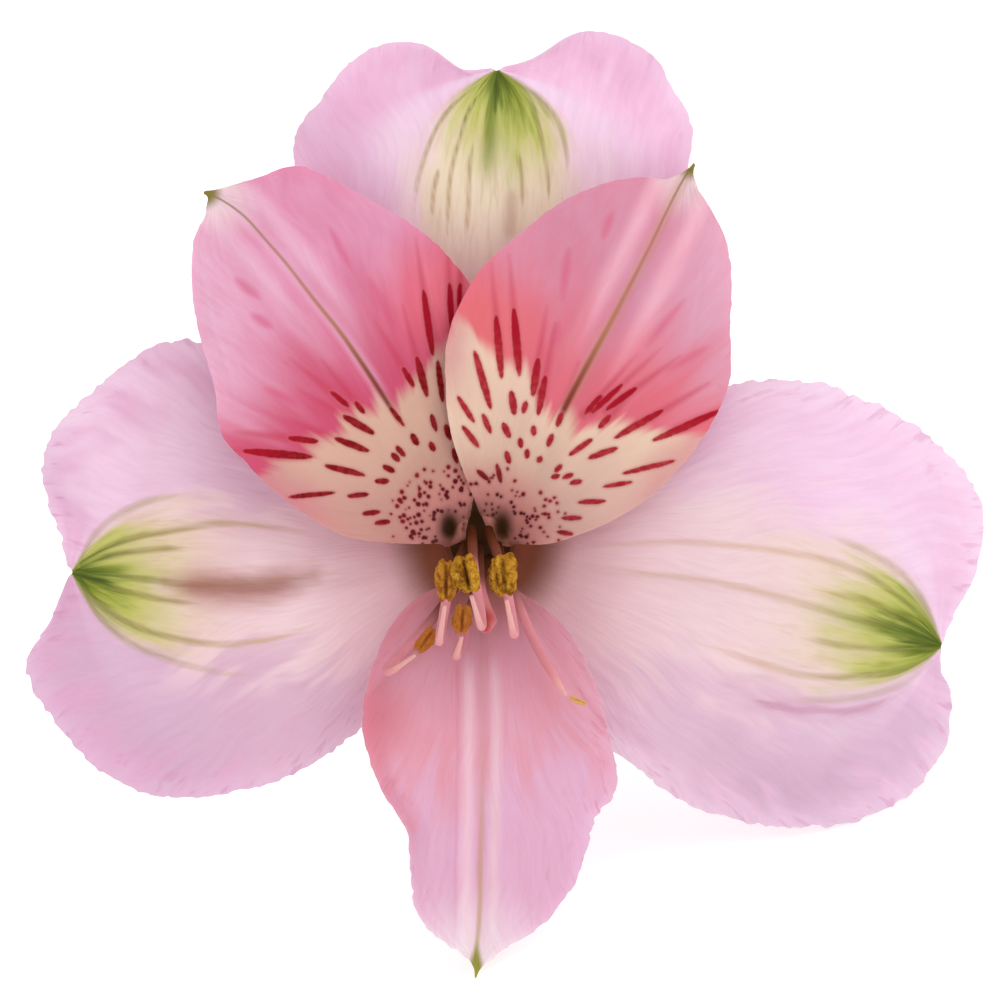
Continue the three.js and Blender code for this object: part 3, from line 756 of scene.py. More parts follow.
petalBuild = {
    "thickness": 0.34,
    "marginThickness": 0.12,
    "clawThickness": 0.6,
    "tipThickness": 0.36,
    "toothDepth": 0.2,
    "toothPitch": 0.5,
    "undulation": 0.22,
    "crimp": 0.1,               # small folds near the margin
    "crimpCount": 24,           # of them to a radian
    "crimpReach": 8,
    "pointSlimming": 0.7,
    "veinHeight": 0.03,
    "keelHeight": 0.3,
    "keelWidth": 0.7,
    "sharpAngle": 50,
    "clawCells": 0.12,          # cells to a length on the claw's foot, which needs few
    "bladeCells": 0.8,
}


def depthAt(whorl, radius):
    bend = np.maximum(0, radius - whorl["reflexFrom"])
    into = whorl["drop"] * np.exp(-(radius - 3) / whorl["fall"])
    return whorl["set"] - into - whorl["reflex"] * bend ** 2


def polar(radius, degrees):
    angle = math.radians(degrees)
    return np.array([radius * math.cos(angle), radius * math.sin(angle)])


def stationsOf(petal):     # the three spots of each row, from the ovary to the point
    rows = np.array(petal["rows"], dtype=float)
    foot = polar(claw["ring"], petal["clawAngle"])
    along = foot / np.linalg.norm(foot)
    clockwise = np.array([along[1], -along[0]])
    inset = claw["halfWidth"] ** 2 / (2 * claw["ring"])
    start = np.array([foot - clockwise * claw["halfWidth"] - along * inset, foot,
                      foot + clockwise * claw["halfWidth"] - along * inset])
    throatZ = depthAt(petal["whorl"], np.hypot(*rows[0, 1]))
    spots, depths = [], []
    for k in range(claw["stations"]):
        share = k / claw["stations"]
        spots.append(start + (rows[0] - start) * smoothStep(share, 0.2, 1))
        depths.append(claw["z"] + (throatZ - claw["z"]) * share)
    depths += [depthAt(petal["whorl"], np.hypot(*row[1])) for row in rows]
    return np.concatenate([spots, rows]), np.array(depths)


def petalSurface(petal, u, t):     # the middle surface: u along (column), t across (row)
    build = petalBuild
    spots, depths = stationsOf(petal)
    left, mid, right = (np.stack([splineAt(spots[:, side, axis], u) for axis in (0, 1)], axis=-1)
                        for side in range(3))
    u, t = u[:, None], t[None, :]
    half, lean = 0.5 * (right - left), 0.5 * (right + left) - mid
    widen = petal.get("throatWiden", 0) * np.exp(-((u - claw["stations"]) / 1.3) ** 2)
    slim = 1 - build["pointSlimming"] * smoothStep(u, len(spots) - 1.9, len(spots) - 1)
    half = half * (1 + widen) * slim
    plan = mid[:, None] + half[:, None] * t[..., None] + lean[:, None] * (t * t)[..., None]
    blade = smoothStep(u, claw["stations"] - 1, claw["stations"] + 0.5)
    share = np.maximum(0, (u - claw["stations"]) / (len(spots) - 1 - claw["stations"]))
    edge = np.abs(t) ** 3 * smoothStep(share, 0.1, 0.4) * (1 - smoothStep(share, 0.85, 1))
    ruffle = petal["wave"] * edge * np.sin(2 * math.pi * petal["waves"] * share + petal["phase"] + 2 * t)
    lift = petal.get("tilt", 0) * t * smoothStep(share, 0.02, 0.15) * (1 - smoothStep(share, 0.6, 0.9))
    radius = np.maximum(np.hypot(plan[..., 0], plan[..., 1]), 2.6)
    opened = depthAt(petal["whorl"], radius) + ruffle + lift
    shaft = splineAt(depths, u)
    point = np.concatenate([plan, (shaft + (opened - shaft) * blade)[..., None]], axis=-1)
    if petal.get("rolled"):
        roll = (smoothStep(u, 0.4, 1.8) * (1 - smoothStep(u, 3.0, 3.9)))[..., None]
        point = point + (rolledClaw(spots, depths, u[:, 0], t) - point) * roll
    return point


def rolledClaw(spots, depths, u, t):     # an upper inner petal's claw, rolled round its nectar tube
    def centre(place):
        return np.stack([splineAt(spots[:, 1, 0], place), splineAt(spots[:, 1, 1], place),
                         splineAt(depths, place)], axis=-1)
    middle = centre(u)
    tangent = unit(centre(u + 0.05) - centre(u - 0.05))
    outward = unit(middle * [1, 1, 0])
    inward = np.array([0, 0, 1]) - outward
    inward = unit(inward - tangent * np.sum(inward * tangent, axis=-1, keepdims=True))
    across = np.cross(tangent, inward)
    angle = (t * nectar["halfAngle"])[..., None]
    bulge = nectar["ring"] + nectar["radius"] - np.hypot(middle[:, 0], middle[:, 1])
    bulge = bulge * smoothStep(u, 0.5, 2)
    return (middle[:, None] + (outward * bulge[:, None])[:, None]
            + across[:, None] * nectar["radius"] * np.sin(angle)
            + inward[:, None] * nectar["radius"] * (1 - np.cos(angle)))


def rowPlaces(petal, cell):     # places along the petal, about one cell apart
    spots, depths = stationsOf(petal)
    last = len(spots) - 1
    u = np.linspace(0, last, 1200)
    steps = 0
    for side in range(3):
        line = [splineAt(spots[:, side, 0], u), splineAt(spots[:, side, 1], u), splineAt(depths, u)]
        steps = steps + np.linalg.norm(np.diff(np.stack(line, axis=-1), axis=0), axis=-1) / 3
    atFoot = u[1:] < claw["stations"] - 2.2
    steps = np.where(atFoot, steps * petalBuild["clawCells"], steps * petalBuild["bladeCells"])
    length = np.concatenate([[0], np.cumsum(steps)])
    count = int(length[-1] / cell)
    return np.interp(np.linspace(0, length[-1], count + 1), length, u)


def holeGap(petal, x, y):     # 1 at about the rim of the nectar tube's mouth
    holeX, holeY = petal["hole"]
    upward = (y - holeY) / nectar["pitHeight"]
    return np.hypot((x - holeX) / nectar["pitWidth"], np.where(upward > 0, upward, upward * 1.5))


def segmentGap(x, y, x0, y0, x1, y1):     # distance to a line, and how far along it
    stepX, stepY = x1 - x0, y1 - y0
    along = np.clip(((x - x0) * stepX + (y - y0) * stepY) / (stepX ** 2 + stepY ** 2), 0, 1)
    return np.hypot(x - x0 - along * stepX, y - y0 - along * stepY), along


def marginField(plan, outline):
    tree = KDTree(len(outline))
    for index, (x, y) in enumerate(outline):
        tree.insert((x, y, 0), index)
    tree.balance()
    flat = plan.reshape(-1, 2)
    return np.array([tree.find((x, y, 0))[2] for x, y in flat]).reshape(plan.shape[:2])


def toothPush(petal, track, side, share):     # how far each point of a margin is pushed out
    build = petalBuild
    run = runOf(track)
    seed = petal["seed"] * 10 + side
    still = np.zeros_like(run)
    fine = latticeNoise(run / build["toothPitch"], still, seed)
    finest = latticeNoise(run / build["toothPitch"] * 2.3, still + 9.5, seed)
    patch = 0.5 + 0.5 * latticeNoise(run / 6, still + 3.5, seed)     # some stretches are smoother
    broad = latticeNoise(run / 3.0, still + 5.5, seed)
    push = ((fine + 0.5 * finest) * build["toothDepth"] * (0.35 + patch) + broad * 0.2) * petal["teeth"]
    return push * smoothStep(share, 0.12, 0.3) * (1 - smoothStep(share, 0.93, 1))


def buildPetal(petal, material, extraFields=None):
    build = petalBuild
    columns = petal["columns"]
    u = rowPlaces(petal, petal["cell"])
    s = np.linspace(-1, 1, columns + 1)
    t = s * (1.3 - 0.3 * s * s)     # columns crowd toward the margins
    last = len(petal["rows"]) - 1 + claw["stations"]
    point = petalSurface(petal, u, t)
    step = 0.02
    along = (petalSurface(petal, np.minimum(u + step, last), t)
             - petalSurface(petal, np.maximum(u - step, 0), t))
    acrossWay = (petalSurface(petal, u, np.minimum(t + step, 1))
                 - petalSurface(petal, u, np.maximum(t - step, -1)))
    normal = unit(np.cross(acrossWay, along))
    middleNormal = normal[:, columns // 2][:, None]
    tipShare = smoothStep(u, last - 3, last - 1)[:, None, None]
    normal = unit(normal + (middleNormal - normal) * tipShare)

    share = np.clip((u - claw["stations"]) / (last - claw["stations"]), 0, 1)[:, None]
    plan = point[..., :2]
    midGap = np.linalg.norm(plan - plan[:, [columns // 2]], axis=-1) * np.sign(t)[None, :]
    axisGap = np.hypot(plan[..., 0], plan[..., 1])
    onBlade = smoothStep(u, claw["stations"] + 0.3, claw["stations"] + 2)[:, None]
    length = runOf(point[:, columns // 2])
    tip = point[-1, columns // 2]
    tipGap = np.linalg.norm(point - tip, axis=-1)

    # teeth along the margins
    for side, column in ((-1, 0), (1, columns)):
        push = toothPush(petal, point[:, column], side, share[:, 0])
        weight = smoothStep(side * t, 0.84, 1)
        point = point + (unit(acrossWay) * side) * (push[:, None] * weight[None, :])[..., None]

    # relief: low folds, a grooved midrib between two pleats, faint veins
    x, y = point[..., 0], point[..., 1]
    fold = latticeNoise(x / 5.5, y / 5.5, petal["seed"]) * build["undulation"] * onBlade
    pleat = np.exp(-((np.abs(midGap) - 1.9) / 0.9) ** 2) - 0.8 * np.exp(-(midGap / 0.5) ** 2)
    pleat = petal["pleat"] * pleat
    lane = t[None, :] * petal["veinCount"] + 0 * u[:, None]
    vein = build["veinHeight"] * latticeNoise(lane, length[:, None] / 9, petal["seed"] + 3)
    outline = np.concatenate([point[u > claw["stations"], 0, :2], point[u > claw["stations"], -1, :2]])
    marginGap = marginField(point[..., :2], outline)
    facing = math.radians(petal["clawAngle"])
    aside = y * math.cos(facing) - x * math.sin(facing)
    ray = np.arctan2(aside, x * math.cos(facing) + y * math.sin(facing))
    crimp = latticeNoise(ray * build["crimpCount"] + 40, np.hypot(x, y) / 6, petal["seed"] + 7)
    crimp = crimp * build["crimp"]
    crimp = crimp * (1 - smoothStep(marginGap, 1, build["crimpReach"])) * petal["teeth"] * onBlade
    relief = fold + pleat * onBlade * (1 - smoothStep(share, 0.9, 1)) + vein * onBlade + crimp
    relief = relief * (1 - smoothStep(share, 0.93, 1))

    # thin at the margin, thick at the claw, with a keel behind
    thinner = build["marginThickness"] - build["thickness"]
    thick = build["thickness"] + thinner * smoothStep(np.abs(t), 0.8, 1)[None, :]
    thick = thick + (build["clawThickness"] - thick) * (1 - smoothStep(u, 3.5, 5.5))[:, None]
    keel = build["keelHeight"] * np.exp(-(midGap / build["keelWidth"]) ** 2) * onBlade
    tipThick = 1 - smoothStep(tipGap, 0.4, 2.2)
    thick = thick + tipThick * (build["tipThickness"] - thick)
    front = point + normal * (thick / 2 + relief)[..., None]
    rear = point + normal * (-thick / 2 + relief - keel * (1 - tipThick))[..., None]
    if petal.get("rolled"):
        pit = nectar["pitDepth"] * np.exp(-holeGap(petal, x, y) ** 2 / 0.5)
        pit = pit * smoothStep(u, 3.8, 4.0)[:, None]
        front[..., 2] -= pit
        rear[..., 2] -= pit

    faces = shellQuads(len(u), columns + 1)
    fields = {
        "across": np.broadcast_to(t[None, :], x.shape),
        "ray": ray,
        "planX": x,
        "planY": y,
        "midGap": midGap,
        "axisGap": axisGap,
        "tipGap": tipGap,
        "marginGap": marginGap,
        "depth": point[..., 2],
    }
    if extraFields:
        fields.update(extraFields(x, y))
    fields = {label: np.tile(values.ravel(), 2) for label, values in fields.items()}
    fields["back"] = np.repeat([0.0, 1.0], x.size)
    points = np.concatenate([front.reshape(-1, 3), rear.reshape(-1, 3)])
    makePiece(petal["name"], points, faces.tolist(), fields, material, [petal["stands"]],
              build["sharpAngle"])
    print(petal["name"], "built,", 2 * len(faces), "triangles")


outerTop = {
    "name": "petalOuterTop", "stands": "outer_tepal_top", "slot": "outer_tepal", "whorl": outerWhorl,
    "clawAngle": 90, "wave": 0.9, "waves": 2.6, "phase": 0.4, "seed": 11, "teeth": 0.5, "pleat": 0.12,
    "veinCount": 22, "cell": 0.22, "columns": 130,
    "cap": {"tip": (1.4, 39.9), "toward": (0.9, 18.0), "halfWidths": (7.3, 7.7),
            "bend": 3.0, "reach": 30.0, "cover": 0.95, "halo": 0.6,
            "green": 6.0, "greenSide": -0.25, "coreSide": 0.08, "spread": 3.8, "stroke": 11.0,
            "veins": 34.0, "veinWidth": 0.34, "veinStart": 0.25, "veinShare": 0.74,
            "olive": 2.8, "middle": 1.7,
            "firstLobe": screenColour(236, 196, 222), "lastLobe": screenColour(250, 208, 234),
            "blush": screenColour(234, 178, 210), "blushReach": 5.0,
            "ground": screenColour(240, 226, 200), "far": screenColour(246, 218, 204), "streak": 0.4,
            "near": screenColour(250, 214, 236), "crinkles": 0.2, "duskHalo": 0.0,
            "dusk": screenColour(184, 140, 112), "duskWidth": 0.9, "duskShare": 0.4,
            "deep": screenColour(52, 36, 16), "paintedGlow": 0.5},
    "dusk": [(2.6, 30.6), (2.6, 28.0), (2.4, 25.0)],
    "veins": [
        [(1.4, 39.8), (1.3, 38.0), (1.2, 35.6)],
        [(1.0, 39.3), (-0.8, 36.8), (-1.8, 33.9), (-2.5, 31.0), (-2.7, 27.9), (-2.8, 23.7)],
        [(0.5, 39.1), (-2.1, 37.2), (-3.6, 35.2), (-4.7, 32.6), (-5.4, 29.7), (-5.6, 26.5)],
        [(2.8, 38.8), (4.4, 36.8), (5.2, 34.0), (5.7, 31.0), (5.8, 27.8)],
        [(2.3, 39.3), (4.6, 37.9), (6.3, 36.0), (7.2, 33.3), (7.5, 29.5)],
        [(-0.5, 34.6), (-0.9, 31.8), (-1.0, 28.6), (-1.3, 24.3)],
        [(3.1, 33.6), (3.5, 31.0), (3.6, 27.6)],
        [(-3.3, 32.4), (-3.9, 29.8), (-4.1, 26.8)],
    ],
    "rows": [
        [[-1.3, 3.5], [0.1, 3.8], [1.5, 3.5]],
        [[-4.6, 11.3], [0.8, 11.3], [6.0, 11.3]],
        [[-8.8, 19.7], [1.8, 19.0], [11.7, 19.5]],
        [[-13.0, 26.8], [2.3, 25.5], [16.1, 26.5]],
        [[-15.6, 32.0], [2.2, 30.1], [17.6, 32.2]],
        [[-15.2, 35.1], [2.0, 33.2], [17.8, 35.3]],
        [[-13.4, 37.5], [1.7, 35.4], [16.1, 38.6]],
        [[-11.2, 40.4], [1.5, 36.9], [14.9, 40.9]],
        [[-8.2, 42.2], [1.4, 37.9], [11.4, 42.9]],
        [[-4.8, 42.2], [1.4, 38.8], [8.0, 43.1]],
        [[-1.6, 40.1], [1.4, 39.3], [4.6, 41.1]],
        [[0.3, 40.0], [1.4, 39.9], [2.6, 40.2]],
    ],
}

outerLeft = {
    "name": "petalOuterLeft", "stands": "outer_tepal_left", "slot": "outer_tepal", "whorl": outerWhorl,
    "clawAngle": 210, "throatWiden": 0.9, "wave": 0.9, "waves": 2.8, "phase": 1.7, "seed": 12,
    "teeth": 1.0, "pleat": 0.12, "veinCount": 24, "cell": 0.22, "columns": 130,
    "cap": {"tip": (-34.3, -2.3), "toward": (-15.0, -3.0), "halfWidths": (8.0, 7.6),
            "bend": 3.4, "reach": 19.0, "cover": 0.75, "halo": 0.15,
            "green": 5.8, "greenSide": 0.35, "coreSide": -0.05, "spread": 3.2, "stroke": 6.0,
            "veins": 40.0, "veinWidth": 0.46, "veinStart": 0.12, "veinShare": 0.8,
            "olive": 3.4, "middle": 1.25,
            "firstLobe": screenColour(214, 182, 206), "lastLobe": screenColour(246, 216, 236),
            "blush": screenColour(226, 174, 206), "blushReach": 5.0,
            "ground": screenColour(228, 210, 180), "far": screenColour(222, 184, 182), "streak": 0.5,
            "near": screenColour(222, 190, 206), "crinkles": 0.5, "duskHalo": 0.55,
            "dusk": screenColour(168, 108, 94), "duskWidth": 1.15, "duskShare": 0.68,
            "deep": screenColour(150, 84, 60), "paintedGlow": 0.25},
    "dusk": [(-26.4, -3.2), (-22.8, -3.6), (-18.8, -3.6), (-14.2, -2.6)],
    "veins": [
        [(-33.9, -2.1), (-29.0, -2.8), (-23.3, -3.4), (-18.7, -3.1), (-14.9, -2.7), (-9.6, -2.4)],
        [(-33.6, -1.5), (-31.7, -0.4), (-29.0, 0.6), (-25.2, 1.3), (-22.1, 1.8), (-17.2, 1.4),
         (-11.9, 0.2)],
        [(-33.6, -1.1), (-32.5, 0.8), (-30.6, 2.5), (-27.6, 3.8), (-23.4, 4.4)],
        [(-33.6, -2.8), (-32.2, -4.8), (-29.3, -6.7), (-25.1, -8.0), (-20.9, -8.4), (-15.9, -7.5),
         (-11.7, -5.6)],
        [(-33.5, -3.3), (-32.2, -5.9), (-29.7, -8.1), (-26.4, -9.6), (-21.8, -10.8), (-16.7, -11.1)],
        [(-33.5, -1.8), (-31.0, -0.9), (-27.6, -0.4), (-23.4, -0.3)],
        [(-33.5, -2.5), (-30.6, -3.6), (-26.8, -4.6), (-23.0, -5.1)],
    ],
    "rows": [
        [[-2.0, -2.7], [-3.0, -1.6], [-3.3, -0.2]],
        [[-4.0, -7.6], [-7.4, -2.4], [-8.0, 3.8]],
        [[-7.0, -12.1], [-11.7, -2.9], [-13.6, 9.1]],
        [[-10.9, -16.2], [-15.9, -3.2], [-18.2, 14.3]],
        [[-15.7, -19.3], [-19.7, -3.3], [-23.0, 17.1]],
        [[-21.3, -20.9], [-23.0, -3.5], [-28.1, 16.4]],
        [[-26.8, -21.1], [-25.8, -3.4], [-32.0, 13.3]],
        [[-32.2, -18.9], [-28.0, -3.1], [-35.7, 9.9]],
        [[-35.6, -15.1], [-30.0, -2.6], [-36.8, 6.6]],
        [[-38.1, -10.5], [-31.6, -2.3], [-36.3, 3.6]],
        [[-36.0, -6.1], [-33.0, -2.3], [-35.3, 0.8]],
        [[-34.5, -3.2], [-34.3, -2.3], [-34.5, -1.3]],
    ],
}

outerRight = {
    "name": "petalOuterRight", "stands": "outer_tepal_right", "slot": "outer_tepal", "whorl": outerWhorl,
    "clawAngle": 330, "throatWiden": 0.9, "wave": 0.9, "waves": 2.5, "phase": 2.9, "seed": 13,
    "teeth": 1.0, "pleat": 0.12, "veinCount": 24, "cell": 0.22, "columns": 130,
    "cap": {"tip": (38.8, -8.5), "toward": (20.0, -3.6), "halfWidths": (7.4, 7.6),
            "bend": 3.6, "reach": 22.0, "cover": 0.75, "halo": 0.35,
            "green": 7.2, "greenSide": 0.1, "coreSide": 0.05, "spread": 3.4, "stroke": 9.0,
            "veins": 44.0, "veinWidth": 0.5, "veinStart": 0.2, "veinShare": 0.6,
            "olive": 2.0, "middle": 1.6,
            "firstLobe": screenColour(247, 214, 238), "lastLobe": screenColour(213, 184, 206),
            "blush": screenColour(244, 202, 228), "blushReach": 4.0,
            "ground": screenColour(236, 218, 200), "far": screenColour(240, 214, 206), "streak": 0.45,
            "near": screenColour(234, 202, 218), "crinkles": 0.4, "duskHalo": 0.15,
            "dusk": screenColour(200, 150, 176), "duskWidth": 0.65, "duskShare": 0.65,
            "deep": screenColour(150, 84, 60), "paintedGlow": 0.25},
    # the dusk path here: a painted shadow along the fold below the cap
    "dusk": [(20.6, -11.8), (24.3, -13.4), (28.4, -14.0), (32.4, -13.7), (36.0, -12.2)],
    "veins": [
        [(38.8, -8.4), (35.2, -7.1), (31.0, -6.1), (25.9, -4.6), (20.1, -3.2), (13.4, -2.4), (7.6, -1.7)],
        [(38.3, -7.4), (35.6, -4.6), (32.6, -2.6), (28.5, -1.1), (23.4, -0.3), (17.6, 0.2), (11.7, 0.0),
         (7.4, -0.5)],
        [(38.3, -6.9), (37.2, -4.6), (35.2, -2.1), (31.8, -0.2), (28.5, 1.3)],
        [(38.2, -9.2), (35.2, -10.6), (31.0, -11.1), (26.8, -10.9), (21.8, -9.4), (17.6, -8.0)],
        [(38.0, -9.8), (35.6, -11.7), (31.8, -12.8), (27.6, -13.1), (24.3, -13.0)],
        [(38.5, -8.0), (35.6, -6.1), (31.8, -4.6), (28.0, -3.8)],
        [(38.2, -9.0), (34.3, -8.8), (30.1, -8.4), (26.8, -7.8)],
    ],
    "rows": [
        [[3.3, -0.2], [3.0, -1.6], [2.0, -2.7]],
        [[8.2, 3.9], [7.5, -2.0], [5.0, -8.0]],
        [[13.4, 8.8], [12.6, -2.7], [8.7, -14.1]],
        [[18.4, 12.5], [17.6, -3.5], [13.0, -18.7]],
        [[23.8, 13.9], [22.2, -4.1], [18.2, -22.2]],
        [[29.0, 13.5], [26.1, -4.9], [23.9, -23.6]],
        [[34.0, 11.6], [29.5, -5.9], [29.7, -23.6]],
        [[38.9, 8.3], [32.0, -6.5], [35.2, -21.7]],
        [[42.2, 3.2], [34.1, -7.1], [38.9, -17.8]],
        [[41.7, -2.4], [36.0, -7.6], [39.8, -13.3]],
        [[39.9, -6.0], [37.5, -8.1], [38.8, -10.6]],
        [[39.0, -7.7], [38.8, -8.5], [38.7, -9.4]],
    ],
}


# Distance to the nearest path; it grows by starting and ending toward the paths' two ends.
def pathGap(x, y, paths, starting=0.0, ending=0.3):
    gap = np.full(x.shape, 40.0)
    for path in paths:
        spots = curveThrough([(*p, 0.0) for p in path], 6 * len(path))
        pieces = len(spots) - 1
        for k in range(pieces):
            away, along = segmentGap(x, y, *spots[k][:2], *spots[k + 1][:2])
            place = (k + along) / pieces
            thin = ending * smoothStep(place, 0.75, 1) + starting * (1 - smoothStep(place, 0, 0.3))
            gap = np.minimum(gap, away + thin)
    return gap


# How far back from the point, how far across the cap (1 at its edge), and its veins.
def capFields(petal):
    cap = petal["cap"]

    def compute(x, y):
        tip = np.array(cap["tip"])
        way = unit(np.array(cap["toward"]) - tip)
        aside = np.array([way[1], -way[0]])
        along = (x - tip[0]) * way[0] + (y - tip[1]) * way[1]
        across = (x - tip[0]) * aside[0] + (y - tip[1]) * aside[1]
        reach = 1 - np.exp(-(np.maximum(along, 0) + 0.12) / cap["bend"])
        half = np.where(across > 0, cap["halfWidths"][0], cap["halfWidths"][1]) * reach
        return {"capAlong": np.where(along < 0, np.abs(along) * 2, along), "capAcross": across / half,
                "veinField": pathGap(x, y, petal["veins"], cap["veinStart"]),
                "duskField": pathGap(x, y, [petal["dusk"]], cap["duskWidth"], cap["duskWidth"])}
    return compute


for petal in (outerTop, outerLeft, outerRight):
    skin = outerMaterial(petal["name"] + "Skin", float(petal["seed"]), petal["cap"])
    buildPetal(petal, skin, capFields(petal))

innerLeft = {
    "name": "petalInnerLeft", "stands": "inner_tepal_left", "slot": "inner_tepal", "whorl": innerWhorl,
    "clawAngle": 150, "rolled": True, "tilt": -1.3, "wave": 0.5, "waves": 3, "phase": 0.8, "seed": 21,
    "teeth": 0.3, "pleat": 0.14, "veinCount": 20, "cell": 0.15, "columns": 158,
    "paleAt": (1.6, -2.2), "outerSide": -1.0, "creamShade": 0.85, "creamBlush": 0.85, "ribWidth": 0.22,
    "ribEnd": 2.4, "coralReach": 8.0,
    "shade": screenColour(206, 152, 144),
    "spot": screenColour(132, 2, 12), "spotLight": screenColour(168, 36, 46),
    "streak": screenColour(220, 90, 136), "coral": screenColour(255, 128, 142),
    "ribTone": screenColour(240, 190, 216), "pleatHighlight": screenColour(242, 192, 216),
    "pink": screenColour(230, 148, 182), "light": screenColour(240, 190, 216),
    "deep": screenColour(210, 78, 114), "cream": screenColour(221, 181, 159),
    "hub": (-2.8, 1.6),
    "hole": (-2.8, 1.35),
    "coralAt": (-2.6, 21.0),
    "creamEdge": [(90, 15.6), (94, 14.2), (104, 12.1), (112, 11.4), (122, 11.4), (131, 12.5), (139, 12.1),
                  (147, 12.5), (158, 14.6), (166, 16.4), (176, 22)],
    "dashes": [
        (-12.6, 12.9, -11.0, 11.6, .42), (-10.6, 12.1, -9.8, 11.1, .42), (-11.6, 10.9, -9.0, 9.4, .62),
        (-12.3, 9.0, -9.4, 7.9, .56), (-16.2, 9.0, -13.6, 8.7, .5), (-19.9, 7.9, -14.1, 7.4, .66),
        (-13.2, 6.7, -9.8, 5.9, .52), (-16.1, 4.0, -12.3, 4.4, .42), (-11.3, 4.1, -9.5, 4.3, .42),
        (-10.0, 2.6, -8.5, 2.8, .44), (-9.0, 1.8, -7.7, 2.0, .44), (-9.0, 5.4, -7.7, 5.4, .46),
        (-8.3, 6.7, -7.3, 6.2, .5), (-7.6, 7.8, -6.9, 7.1, .5), (-7.2, 8.4, -6.4, 7.5, .46),
        (-5.8, 9.4, -5.3, 8.4, .5), (-4.3, 8.8, -4.0, 8.0, .5), (-4.2, 11.1, -3.8, 9.7, .46),
        (-3.0, 10.3, -2.6, 9.0, .54), (-2.4, 8.3, -2.0, 7.0, .42), (-7.6, 11.6, -6.4, 10.0, .36),
        (-5.4, 15.9, -4.5, 12.5, .62), (-3.6, 15.6, -3.2, 12.1, .5), (-6.6, 15.0, -5.6, 13.3, .46),
        (-4.8, 21.4, -4.0, 15.9, .58), (-2.6, 22.0, -2.4, 18.1, .5), (-1.7, 22.0, -1.8, 19.8, .4),
    ],
    "dots": [(-5.4, 5.9), (-6.7, 4.5), (-5.2, 4.3), (-6.9, 3.8), (-5.4, 3.5), (-7.1, 3.3), (-6.6, 2.5),
             (-6.7, 2.0), (-5.4, 2.6), (-5.6, 1.9), (-5.9, 1.1), (-4.7, 3.5), (-2.8, 6.7), (-2.2, 6.4),
             (-2.2, 5.5), (-1.7, 4.8)],
    "streaks": [(-12.6, 26.6, -10.7, 22.9), (-9.3, 22.4, -7.2, 18.2), (-20.5, 22.3, -18.4, 20.6),
                (-19.1, 19.3, -17.4, 18.2), (-18.0, 13.1, -15.1, 11.8)],
    "rows": [
        [[-3.3, 0.1], [-2.3, 0.5], [-1.3, 0.9]],
        [[-6.7, 0.1], [-4.0, 4.6], [-0.3, 5.6]],
        [[-11.3, 0.8], [-5.5, 8.0], [0.5, 9.6]],
        [[-15.9, 3.4], [-7.4, 11.3], [0.8, 14.5]],
        [[-19.8, 7.1], [-9.5, 14.6], [0.3, 19.0]],
        [[-21.7, 9.6], [-11.7, 17.8], [-1.4, 22.6]],
        [[-22.3, 13.5], [-14.1, 20.8], [-4.4, 25.9]],
        [[-23.4, 17.3], [-16.1, 23.4], [-8.0, 28.2]],
        [[-24.1, 21.4], [-17.9, 25.5], [-12.1, 30.5]],
        [[-24.0, 25.3], [-19.6, 27.4], [-15.4, 31.8]],
        [[-23.0, 27.9], [-21.3, 28.7], [-19.2, 30.6]],
        [[-23.5, 29.1], [-23.1, 29.6], [-22.5, 30.0]],
    ],
}

